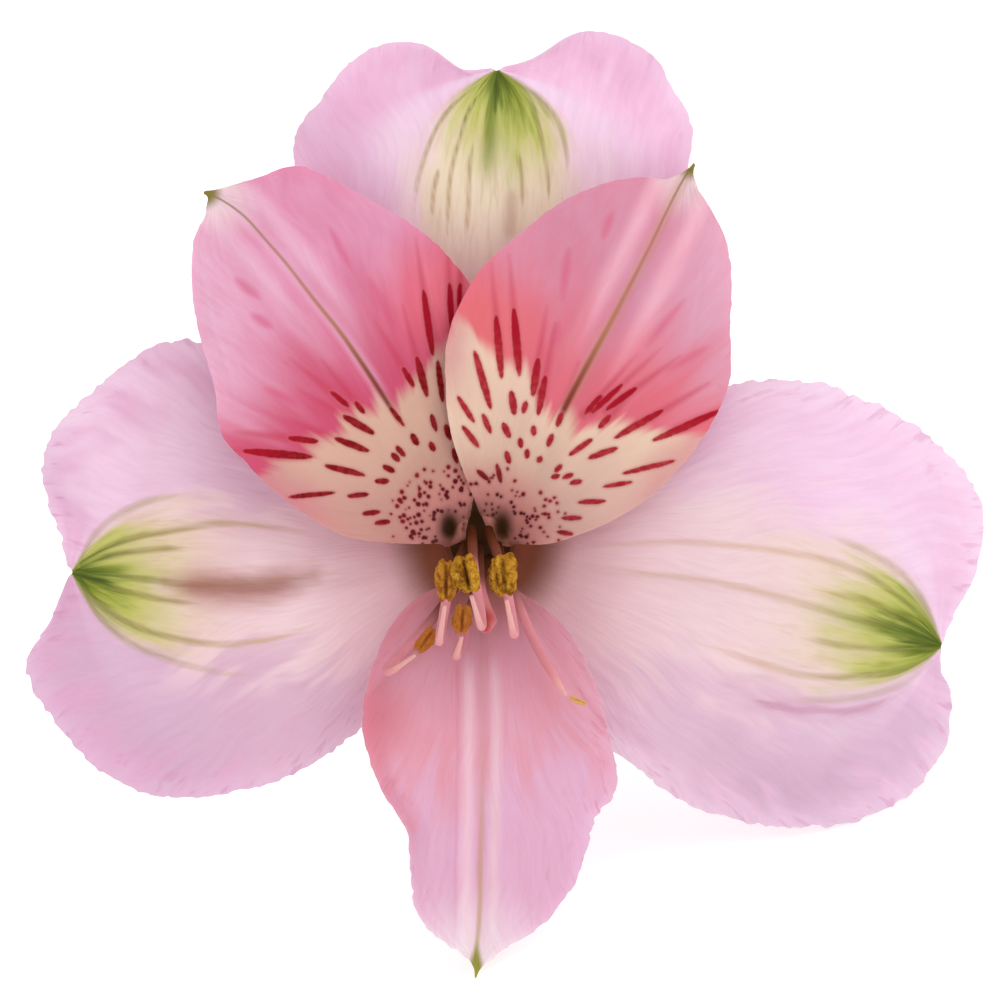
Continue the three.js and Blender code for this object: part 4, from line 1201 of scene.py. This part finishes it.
innerRight = {
    "name": "petalInnerRight", "stands": "inner_tepal_right", "slot": "inner_tepal", "whorl": innerWhorl,
    "clawAngle": 30, "rolled": True, "tilt": -1.3, "wave": 0.5, "waves": 3, "phase": 2.1, "seed": 22,
    "teeth": 0.3, "pleat": 0.2, "veinCount": 20, "cell": 0.15, "columns": 158,
    "paleAt": (2.4, -1.9), "outerSide": 1.0, "creamShade": 0.5, "creamBlush": 0.6, "ribWidth": 0.26,
    "ribEnd": 0.6, "coralReach": 5.6,
    "shade": screenColour(230, 180, 180),
    "spot": screenColour(174, 34, 44), "spotLight": screenColour(198, 68, 76),
    "streak": screenColour(220, 96, 132), "coral": screenColour(234, 112, 114),
    "ribTone": screenColour(212, 146, 132), "pleatHighlight": screenColour(246, 188, 206),
    "pink": screenColour(220, 142, 168), "light": screenColour(230, 176, 200),
    "deep": screenColour(231, 111, 128), "cream": screenColour(242, 214, 188),
    "hub": (2.2, 1.6),
    "hole": (1.95, 1.4),
    "coralAt": (0.6, 18.2),
    "creamEdge": [(0, 30), (25, 18.4), (32, 14.2), (43, 12.9), (49, 11.1), (59, 10.2), (70, 10.2),
                  (84, 12.8), (95, 14.9), (101, 17.2), (106, 16.7), (130, 16)],
    "dashes": [
        (-0.5, 16.4, .9, 11.4, .6), (1.3, 19.3, 1.8, 14.0, .62), (2.8, 19.9, 3.3, 14.2, .66),
        (4.9, 15.7, 4.4, 12.6, .62), (5.5, 14.3, 4.9, 11.1, .56), (2.6, 13.0, 2.9, 11.0, .62),
        (3.9, 12.2, 3.6, 11.2, .46), (-1.9, 12.5, -.5, 10.3, .46), (-1.5, 10.0, -.1, 8.2, .46),
        (.2, 11.0, .9, 9.4, .46), (1.9, 10.3, 2.5, 9.1, .56), (4.5, 10.3, 4.6, 9.4, .46),
        (3.4, 9.2, 3.5, 8.4, .46), (6.1, 9.4, 5.7, 8.3, .5), (4.0, 8.3, 4.0, 7.4, .42),
        (5.1, 7.5, 4.9, 6.9, .46), (2.2, 8.0, 2.5, 7.0, .5), (6.9, 11.2, 6.5, 10.0, .5),
        (13.2, 13.3, 10.6, 11.4, .5), (12.0, 13.6, 9.4, 11.2, .48), (10.3, 12.8, 8.8, 11.1, .42),
        (11.0, 11.0, 10.0, 9.9, .5), (9.5, 9.0, 7.6, 7.7, .5),
        (11.6, 8.2, 9.1, 7.3, .52), (15.4, 11.4, 11.3, 9.0, .56), (20.2, 11.3, 14.5, 8.8, .62),
        (16.4, 7.1, 12.0, 6.0, .42), (12.8, 5.3, 10.4, 4.9, .38), (10.6, 3.7, 8.3, 3.6, .42),
        (8.7, 2.3, 7.0, 2.3, .42), (7.9, .9, 6.6, 1.1, .42), (7.0, 6.9, 6.4, 6.3, .42),
        (6.8, 6.0, 6.1, 5.8, .46), (7.9, 6.0, 7.0, 5.7, .42), (8.6, 5.4, 7.6, 5.2, .46),
        (-.3, 6.4, .7, 5.6, .42), (1.4, 6.9, 1.8, 5.4, .42),
    ],
    "dots": [],
    "streaks": [(7.4, 24.8, 6.9, 20.6), (6.6, 18.7, 6.2, 16.7), (11.0, 27.9, 10.2, 25.6),
                (17.1, 20.6, 13.9, 16.7), (19.2, 16.7, 15.6, 14.6)],
    "rows": [
        [[0.85, 0.8], [1.6, 0.5], [2.8, 0.1]],
        [[-1.2, 5.6], [3.9, 4.8], [6.0, 0.1]],
        [[-2.5, 9.6], [5.5, 8.0], [10.4, 1.7]],
        [[-2.9, 13.4], [7.2, 11.7], [14.3, 4.1]],
        [[-2.5, 18.2], [9.2, 15.5], [18.2, 8.3]],
        [[0.0, 22.9], [11.0, 18.8], [20.8, 13.3]],
        [[3.5, 26.2], [12.7, 22.0], [21.0, 18.5]],
        [[7.0, 28.8], [14.2, 25.0], [21.0, 23.0]],
        [[10.5, 30.3], [15.4, 27.5], [20.2, 26.5]],
        [[13.4, 30.8], [16.2, 29.1], [18.9, 28.9]],
        [[15.7, 30.7], [16.9, 30.4], [18.1, 30.2]],
        [[17.5, 31.9], [17.9, 32.0], [18.3, 31.7]],
    ],
}

freckles = {"count": 170, "from": 1.4, "to": 5.2, "smallest": 0.06, "largest": 0.17}
tail = {"length": 4.4, "halfWidth": 0.42, "from": 1.2}     # the red tails of the outermost dashes


def innerFields(petal):     # the cream's edge, and the distances to every dash, dot, freckle and streak
    def compute(x, y):
        hubX, hubY = petal["hub"]
        ray = np.degrees(np.arctan2(y - hubY, x - hubX))
        ray = np.where(ray < -90, ray + 360, ray)
        radius = np.hypot(x - hubX, y - hubY)
        angles, radii = zip(*petal["creamEdge"])
        cream = np.interp(ray, angles, radii) - radius
        dash = np.full(x.shape, 4.0)
        for x0, y0, x1, y1, width in petal["dashes"]:
            gap, along = segmentGap(x, y, x0, y0, x1, y1)
            dash = np.minimum(dash, gap - 0.5 * width * (4 * along * (1 - along)) ** 0.45)
        for dotX, dotY in petal["dots"]:
            dash = np.minimum(dash, np.hypot(x - dotX, y - dotY) - 0.19)
        chance = np.random.default_rng(petal["seed"])
        for freckle in range(freckles["count"]):
            gap = chance.uniform(freckles["from"], freckles["to"])
            angle = chance.uniform(0, 2 * math.pi)
            size = chance.uniform(freckles["smallest"], freckles["largest"])
            spotX, spotY = hubX + gap * math.cos(angle), hubY + gap * math.sin(angle)
            dash = np.minimum(dash, np.hypot(x - spotX, y - spotY) - size)
        streak = np.full(x.shape, 4.0)
        for x0, y0, x1, y1 in petal["streaks"]:
            gap, along = segmentGap(x, y, x0, y0, x1, y1)
            streak = np.minimum(streak, gap - 0.3 * (4 * along * (1 - along)) ** 0.8)
        tails = np.full(x.shape, 4.0)
        for x0, y0, x1, y1, width in petal["dashes"]:
            wayX, wayY = x0 - x1, y0 - y1
            grown = 1 + tail["length"] / math.hypot(wayX, wayY)
            edge = np.interp(math.degrees(math.atan2(y0 - hubY, x0 - hubX)), angles, radii)
            if edge - math.hypot(x0 - hubX, y0 - hubY) < tail["from"]:
                gap, along = segmentGap(x, y, x1, y1, x1 + wayX * grown, y1 + wayY * grown)
                tails = np.minimum(tails, gap - tail["halfWidth"] * (1 - along ** 2))
        return {"creamField": cream, "dashField": dash, "streakField": streak, "tailField": tails,
                "hubRay": np.radians(ray), "holeGap": holeGap(petal, x, y)}
    return compute


for petal in (innerLeft, innerRight):
    skin = innerMaterial(petal["name"] + "Skin", float(petal["seed"]), petal)
    buildPetal(petal, skin, innerFields(petal))

innerBottom = {
    "name": "petalInnerBottom", "stands": "inner_tepal_bottom", "slot": "bottom_tepal",
    "whorl": innerWhorl, "clawAngle": 270, "wave": 0.5, "waves": 2.4, "phase": 0, "seed": 31, "teeth": 0.7,
    "pleat": 0.09, "veinCount": 16, "cell": 0.17, "columns": 94,
    "rows": [
        [[1.3, -2.9], [0.0, -3.2], [-1.3, -2.9]],
        [[5.0, -5.1], [0.0, -6.1], [-5.5, -4.6]],
        [[7.5, -7.3], [0.1, -9.5], [-8.2, -8.0]],
        [[9.2, -10.6], [0.2, -13.0], [-9.5, -12.0]],
        [[10.5, -14.6], [0.2, -16.7], [-9.8, -15.9]],
        [[11.6, -20.0], [0.1, -20.3], [-8.4, -20.2]],
        [[9.7, -22.8], [0.1, -23.7], [-6.3, -23.9]],
        [[8.9, -25.8], [0.0, -26.7], [-5.8, -27.5]],
        [[7.5, -29.0], [0.0, -29.4], [-5.4, -30.9]],
        [[5.0, -31.9], [-0.1, -31.7], [-3.2, -33.2]],
        [[1.7, -34.1], [-0.3, -33.9], [-1.3, -34.4]],
        [[0.2, -35.8], [-0.4, -36.3], [-0.8, -35.8]],
    ],
}
buildPetal(innerBottom, bottomMaterial("petalInnerBottomSkin", float(innerBottom["seed"])))


def sweep(path, radii, sides, squash=1.0):     # a closed rod along a path, with rounded ends
    tangent = unit(np.gradient(path, axis=0))
    side = np.cross(tangent[0], (0.0, 0.0, 1.0) if abs(tangent[0][2]) < 0.9 else (0.0, 1.0, 0.0))
    side = unit(side)
    rings = []
    angle = np.linspace(0, 2 * math.pi, sides, endpoint=False)
    for index, here in enumerate(path):
        side = unit(side - tangent[index] * np.dot(side, tangent[index]))
        other = np.cross(tangent[index], side)
        ring = np.cos(angle)[:, None] * side + np.sin(angle)[:, None] * other * squash
        rings.append(here + ring * radii[index])
    bulge = 0.3     # of the radius at that end
    ends = [path[0] - tangent[0] * radii[0] * bulge, path[-1] + tangent[-1] * radii[-1] * bulge]
    return np.concatenate([*rings, ends]), ringFaces(len(path), sides)


straightTo = -20     # mm, the depth up to which threads and style stand straight on the ovary


def alongField(rings, sides):
    share = np.linspace(0, 1, rings)
    return np.concatenate([np.repeat(share, sides), [0, 1]])


threadLook = {
    # dark and root: painted shade, for the threads down in the throat
    "dark": screenColour(98, 56, 34),
    "root": screenColour(126, 72, 56),
    "thread": screenColour(216, 142, 152),
    "tip": screenColour(224, 168, 162),
    "ring": 1.45,           # radius at which the threads stand on the ovary
    "diameter": 0.84,
    "neck": 0.42,
    "squash": 0.88,
    "sides": 20,
    "rings": 120,
}


def darkerInward(tree, tone):     # a thread's tone, with painted shade darkening it down into the throat
    depth = field(tree, "depth")
    tone = mixed(fade(depth, -3.0, -7.0), tone, threadLook["root"])
    return mixed(fade(depth, -7.5, -11.5), tone, threadLook["dark"])


def moistBump(tree):
    return bumped(grainOf(tree, 0.14, 1.0), 0.3, 0.00004)


def threadMaterial(name, tipFrom):
    look = threadLook
    material, tree = startMaterial(name)
    blotch = noiseAt(objectSpot(tree), 1400.0)
    tone = mixed(fade(blotch, 0.45, 0.7, 0.0, 0.2), look["thread"], look["tip"])
    tone = darkerInward(tree, tone)
    tone = mixed(fade(field(tree, "along"), tipFrom, tipFrom + 0.12), tone, look["tip"])
    finishMaterial(tree, {
        "Base Color": tone, "Roughness": fade(blotch, 0.3, 0.7, 0.5, 0.62), "Normal": moistBump(tree),
        "Specular IOR Level": fade(field(tree, "depth"), -9.0, -5.0, 0.0, 0.18),
        "Subsurface Weight": 0.6, "Subsurface Scale": 0.0012, "Subsurface Radius": (1.0, 0.55, 0.55)})
    return material


threadSkin = threadMaterial("filamentSkin", 0.8)
for number, stamen in enumerate(stamens, 1):
    look = threadLook
    x, y = polar(look["ring"], stamen["foot"])
    path = curveThrough([(x, y, claw["z"]), (x, y, straightTo), *stamen["path"]], look["rings"])
    share = np.linspace(0, 1, look["rings"])
    radii = look["diameter"] / 2 * (1 - (1 - look["neck"]) * smoothStep(share, 0.72, 1.02))
    points, faces = sweep(path, radii, look["sides"], look["squash"])
    fields = {"along": alongField(len(path), look["sides"]), "depth": points[:, 2]}
    makePiece(f"stamenThread{number}", points, faces, fields, threadSkin, [f"filament_{number}"])
print("stamen threads built")

antherLook = {
    "pollen": screenColour(188, 130, 36),
    "shade": screenColour(126, 74, 14),
    "groove": screenColour(84, 44, 8),
    "grainHighlight": screenColour(218, 176, 76),
    "warm": screenColour(196, 112, 52),
    "young": screenColour(238, 184, 116),
    "depthShare": 0.8,
    "rings": 84,
    "sides": 88,
}


def antherMaterial():
    look = antherLook
    material, tree = startMaterial("pollenSkin")
    spot = objectSpot(tree)
    lumps, grain = noiseAt(spot, 1500.0, 3.0, 0.6), cellGap(spot, 5200.0)
    young = field(tree, "young")
    # painted light and shade by the relief: darker where the lumps sink, a painted highlight on the grains
    # on their tops, the darkest brown in the slit and seams
    tone = mixed(fade(lumps, 0.34, 0.54), look["shade"], look["pollen"])
    tone = mixed(fade(grain, 0.6, 0.1) * fade(lumps, 0.46, 0.62), tone, look["grainHighlight"])
    tone = mixed(field(tree, "pit"), tone, look["groove"])
    tone = mixed(fade(young, 0.0, 0.5, 0.0, 0.75), tone, look["warm"])
    tone = mixed(fade(young, 0.5, 1.0, 0.0, 0.8), tone, look["young"])
    finishMaterial(tree, {
        "Base Color": tone, "Roughness": fade(lumps, 0.3, 0.7, 0.75, 0.95),
        "Normal": bumped(lumps - grain * 0.5, 1.0, 0.00014), "Specular IOR Level": 0.06})
    return material


def antherShape(stamen, seed):     # two wrinkled pollen sacs side by side, notched at both ends
    rings, sides = antherLook["rings"], antherLook["sides"]
    theta = np.linspace(0, math.pi, rings)[1:-1, None]
    angle = np.linspace(0, 2 * math.pi, sides, endpoint=False)[None, :]
    y = np.cos(theta) + 0 * angle
    radius = np.maximum(1 - np.abs(y) ** 2.1, 0) ** 0.48
    x, z = radius * np.cos(angle), radius * np.sin(angle)
    slit = np.exp(-((x + 0.05 * np.sin(4 * y + seed)) / 0.15) ** 2) * (1 - np.abs(y) ** 6)
    seam = np.exp(-((np.abs(x) - 0.56 - 0.07 * np.sin(5 * y + seed)) / 0.1) ** 2) * (1 - y ** 2)
    lumps = latticeNoise(4 * y + 3 * z, 4 * x + 11, seed)
    ripples = latticeNoise(9 * y + 1.5 * x, 6 * x + 4 * z + 11, seed + 1)
    groove = 1 - 0.55 * slit - 0.16 * seam
    swell = 1 + 0.13 * lumps + 0.07 * ripples
    notch = 1 - 0.2 * np.exp(-(x / 0.26) ** 2) * np.abs(y) ** 3
    bow = 0.1 * np.sin(2.4 * y + seed)
    width = stamen["width"] * stamen.get("slim", 1)
    local = np.stack([(x * swell + bow) * width / 2, y * notch * swell ** 0.5 * stamen["length"] / 2,
                      z * groove * swell * width * antherLook["depthShare"] / 2], axis=-1)
    # where the painted shade goes: the slit, the seams and the low parts of the lumps
    pit = np.clip(slit * 1.1 + seam * 0.5 - lumps * 0.5 - ripples * 0.2 - 0.15, 0, 1)
    poles = np.array([[0, 0.8, 0], [0, -0.8, 0]]) * stamen["length"] / 2
    poles[:, 0] = 0.1 * np.sin(2.4 * np.array([1, -1]) + seed) * width / 2
    return np.concatenate([local.reshape(-1, 3), poles]), np.concatenate([pit.ravel(), [0.8, 0.8]])


pollenSkin = antherMaterial()
for number, stamen in enumerate(stamens, 1):
    local, pit = antherShape(stamen, 40 + number)
    centre, axis = antherCentre(stamen)
    turn = np.array(Vector((0, 1, 0)).rotation_difference(axis).to_matrix())
    points = local @ turn.T + np.array(centre)
    faces = ringFaces(antherLook["rings"] - 2, antherLook["sides"])
    fields = {"pit": pit, "young": np.full(len(points), stamen.get("young", 0.0))}
    makePiece(f"anther{number}", points, faces, fields, pollenSkin, [f"anther_{number}"])
print("anthers built")

styleShape = {
    "path": [(0, 0, claw["z"]), (0, 0, straightTo), (0, -0.3, -13), (0.1, -3, -6), (0.3, -5.4, -1.8),
             (0.5, -7.1, 0.6)],
    "slender": 0.6,
    "wide": 1.8,
    "squash": 0.6,
    "rings": 120,
    "sides": 48,
    "edge": screenColour(222, 140, 146),
    "inside": screenColour(190, 52, 50),
}


def styleMaterial():
    look = styleShape
    material, tree = startMaterial("styleSkin")
    tone = mixed(field(tree, "mouth"), darkerInward(tree, look["edge"]), look["inside"])
    finishMaterial(tree, {
        "Base Color": tone, "Roughness": fade(field(tree, "along"), 0.7, 1.0, 0.46, 0.36),
        "Normal": moistBump(tree), "Specular IOR Level": 0.35,
        "Subsurface Weight": 0.4, "Subsurface Scale": 0.0008, "Subsurface Radius": (1.0, 0.4, 0.4)})
    return material


def buildStyle():     # it widens to three lobes that are pressed together, coral between them
    shape = styleShape
    path = curveThrough(shape["path"], shape["rings"])
    share = np.linspace(0, 1, shape["rings"])
    radii = (shape["slender"] + (shape["wide"] - shape["slender"]) * smoothStep(share, 0.6, 0.94)) / 2
    radii = radii * np.sqrt(1 - 0.7 * smoothStep(share, 0.93, 1))
    points, faces = sweep(path, radii, shape["sides"], shape["squash"])
    angle = np.linspace(0, 2 * math.pi, shape["sides"], endpoint=False)
    lobes = np.outer(smoothStep(share, 0.7, 0.9), np.cos(3 * angle + math.pi / 2)).ravel()
    centre = np.repeat(path, shape["sides"], axis=0)
    points[:-2] = centre + (points[:-2] - centre) * (1 + 0.16 * lobes)[:, None]
    mouth = np.outer(smoothStep(share, 0.76, 0.92), np.clip(-np.sin(angle), 0, 1) ** 2).ravel()
    fields = {"along": alongField(shape["rings"], shape["sides"]), "depth": points[:, 2],
              "mouth": np.concatenate([mouth, [0, 1]])}
    makePiece("style", points, faces, fields, styleMaterial(), ["pistil"])


buildStyle()
print("style built")

ovaryShape = {
    "top": claw["z"], "length": 8, "crown": 3.5, "waist": 3.0, "belly": 3.9, "foot": 1.5,
    "ribs": 6, "ribDepth": 0.1, "rings": 100, "sides": 108,
    "green": screenColour(112, 142, 58), "pale": screenColour(160, 180, 100),
    # its top, down in the throat, is painted shade with a painted glow
    "blush": screenColour(150, 96, 74), "cut": screenColour(70, 44, 24), "paintedGlow": 0.35,
}
stalkShape = {
    "diameter": 2.4, "length": 58, "bend": 19, "neck": 1, "rings": 160, "sides": 32,
    "green": screenColour(124, 156, 70), "pale": screenColour(166, 188, 112),
    "blush": screenColour(158, 110, 84), "cut": screenColour(214, 222, 176), "paintedGlow": 0.0,
}


def greenMaterial(name, look):
    material, tree = startMaterial(name)
    cut = field(tree, "cut")
    lines = noiseAt(joined(field(tree, "around") * 26.0, field(tree, "along") * 2.5), 1.0, 3.0, 0.6)
    blotch = noiseAt(objectSpot(tree), 260.0)
    tone = mixed(fade(lines, 0.35, 0.65), look["green"], look["pale"])
    tone = mixed(fade(blotch, 0.5, 0.75) * 0.45, tone, look["blush"])
    tone = mixed(field(tree, "rib") * 0.4, tone, look["pale"])
    # the stalk's cut end in its own pale colour; the ovary's top, down in the throat, painted dark as its
    # shade, with a painted glow
    tone = mixed(cut, tone, look["cut"])
    finishMaterial(tree, {
        "Base Color": tone, "Roughness": fade(lines, 0.3, 0.7, 0.4, 0.55),
        "Normal": bumped(lines + grainOf(tree, 0.16, 0.4), 0.4, 0.00008), "Specular IOR Level": 0.4,
        "Subsurface Weight": 0.15, "Subsurface Scale": 0.0008, "Subsurface Radius": (0.8, 1.0, 0.4),
        "Emission Color": look["cut"], "Emission Strength": cut * look["paintedGlow"]})
    return material


def buildOvary():
    shape = ovaryShape
    profile = [(0.02, 0), (shape["foot"], 0), (shape["foot"] * 1.5, shape["length"] * 0.08),
               (shape["belly"] * 0.86, shape["length"] * 0.28), (shape["belly"], shape["length"] * 0.5),
               (shape["belly"] * 0.92, shape["length"] * 0.72), (shape["waist"], shape["length"] * 0.88),
               (shape["crown"], shape["length"] * 0.96), (shape["crown"], shape["length"]),
               (0.02, shape["length"])]
    radii, heights = np.array(profile).T
    place = np.linspace(0, len(profile) - 1, shape["rings"])
    side = (place > 1) & (place < 7)
    radius = np.where(side, splineAt(radii, place), np.interp(place, range(len(profile)), radii))
    height = np.where(side, splineAt(heights, place), np.interp(place, range(len(profile)), heights))
    angle = np.linspace(0, 2 * math.pi, shape["sides"], endpoint=False)
    share = (height / shape["length"])[:, None]
    onSide = smoothStep(share, 0, 0.2) * (1 - smoothStep(share, 0.75, 0.95))
    wave = np.cos(shape["ribs"] * -angle)[None, :]
    sharpRib = np.abs(np.cos(shape["ribs"] * -angle / 2))[None, :] ** 6
    rib = 1 + shape["ribDepth"] * onSide * wave + 0.03 * onSide * (sharpRib - 0.3)
    x = radius[:, None] * rib * np.cos(angle)[None, :]
    y = radius[:, None] * rib * np.sin(angle)[None, :]
    z = np.broadcast_to(shape["top"] - shape["length"] + height[:, None], x.shape)
    points = np.stack([x, y, z], axis=-1).reshape(-1, 3)
    ends = np.array([[0, 0, shape["top"] - shape["length"]], [0, 0, shape["top"]]])
    faces = ringFaces(shape["rings"], shape["sides"])

    def withEnds(values, atFoot, atTop):     # a value for every point of the rings, and the two ends'
        return np.concatenate([np.broadcast_to(values, x.shape).ravel(), [atFoot, atTop]])
    fields = {
        "along": withEnds(share * 3, 0, 3),
        "around": withEnds(np.cos(angle * 3)[None, :] * 2, 0, 0),
        "rib": withEnds(onSide * np.clip(wave, 0, 1) ** 3, 0, 0),
        "cut": withEnds(share > 0.985, 0, 1),
    }
    makePiece("ovaryRibbed", np.concatenate([points, ends]), faces, fields,
              greenMaterial("ovarySkin", shape), ["ovary"], 60)


def buildStalk():
    shape = stalkShape
    bend = math.radians(shape["bend"])
    radius = shape["length"] / bend
    up = polar(1, 90 + lying["roll"])
    start = ovaryShape["top"] - ovaryShape["length"]
    route = [(0, 0, start)]
    for k in range(9):
        angle = bend * k / 8
        rise = radius * (1 - math.cos(angle))
        route.append((up[0] * rise, up[1] * rise, start - shape["neck"] - radius * math.sin(angle)))
    path = curveThrough(route, shape["rings"])
    share = np.linspace(0, 1, shape["rings"])
    radii = shape["diameter"] / 2 * (1 + 0.02 * np.sin(share * 40)) - 0.03
    points, faces = sweep(path, radii, shape["sides"])
    sides = shape["sides"]
    angle = np.linspace(0, 2 * math.pi, sides, endpoint=False)
    points[-2:] = path[0], path[-1]     # flat ends
    fields = {
        "along": alongField(shape["rings"], sides) * 6,
        "around": np.concatenate([np.tile(np.cos(angle) * 2, shape["rings"]), [0, 0]]),
        "rib": np.zeros(len(points)),
        "cut": np.concatenate([np.zeros(len(points) - 1), [1]]),
    }
    skin = greenMaterial("stalkSkin", shape)
    makePiece("stalk", points, faces, fields, skin, ["pedicel"], petalBuild["sharpAngle"])


buildOvary()
buildStalk()
print("ovary and stalk built")


def makeFloor():
    half = studio["floorSize"] / 2
    mesh = bpy.data.meshes.new("floor")
    corners = [(-half, -half, 0), (half, -half, 0), (half, half, 0), (-half, half, 0)]
    mesh.from_pydata(corners, [], [(0, 1, 2, 3)])
    material, tree = startMaterial("floorPaint")
    finishMaterial(tree, {
        "Base Color": (0.93, 0.93, 0.93, 1), "Roughness": 0.9, "Emission Color": (1, 1, 1, 1),
        "Emission Strength": studio["floorGlow"]})
    mesh.materials.append(material)
    floor = bpy.data.objects.new("floor", mesh)
    bpy.context.scene.collection.objects.link(floor)


def makeLight(name, place, size, power):
    data = bpy.data.lights.new(name, "AREA")
    data.shape = "DISK"
    data.size = size
    data.energy = power
    light = bpy.data.objects.new(name, data)
    light.location = place
    light.rotation_euler = (-Vector(place)).to_track_quat("-Z", "Y").to_euler()
    bpy.context.scene.collection.objects.link(light)


def makeWorld():
    world = bpy.data.worlds.new("softRoom")
    world.use_nodes = True
    background = world.node_tree.nodes["Background"]
    background.inputs["Color"].default_value = (1, 1, 1, 1)
    background.inputs["Strength"].default_value = studio["skyStrength"]
    bpy.context.scene.world = world


makeFloor()
makeLight("key", studio["keyPlace"], studio["keySize"], studio["keyPower"])
makeWorld()
bpy.context.scene.view_settings.view_transform = "Standard"
print("floor and lights placed")
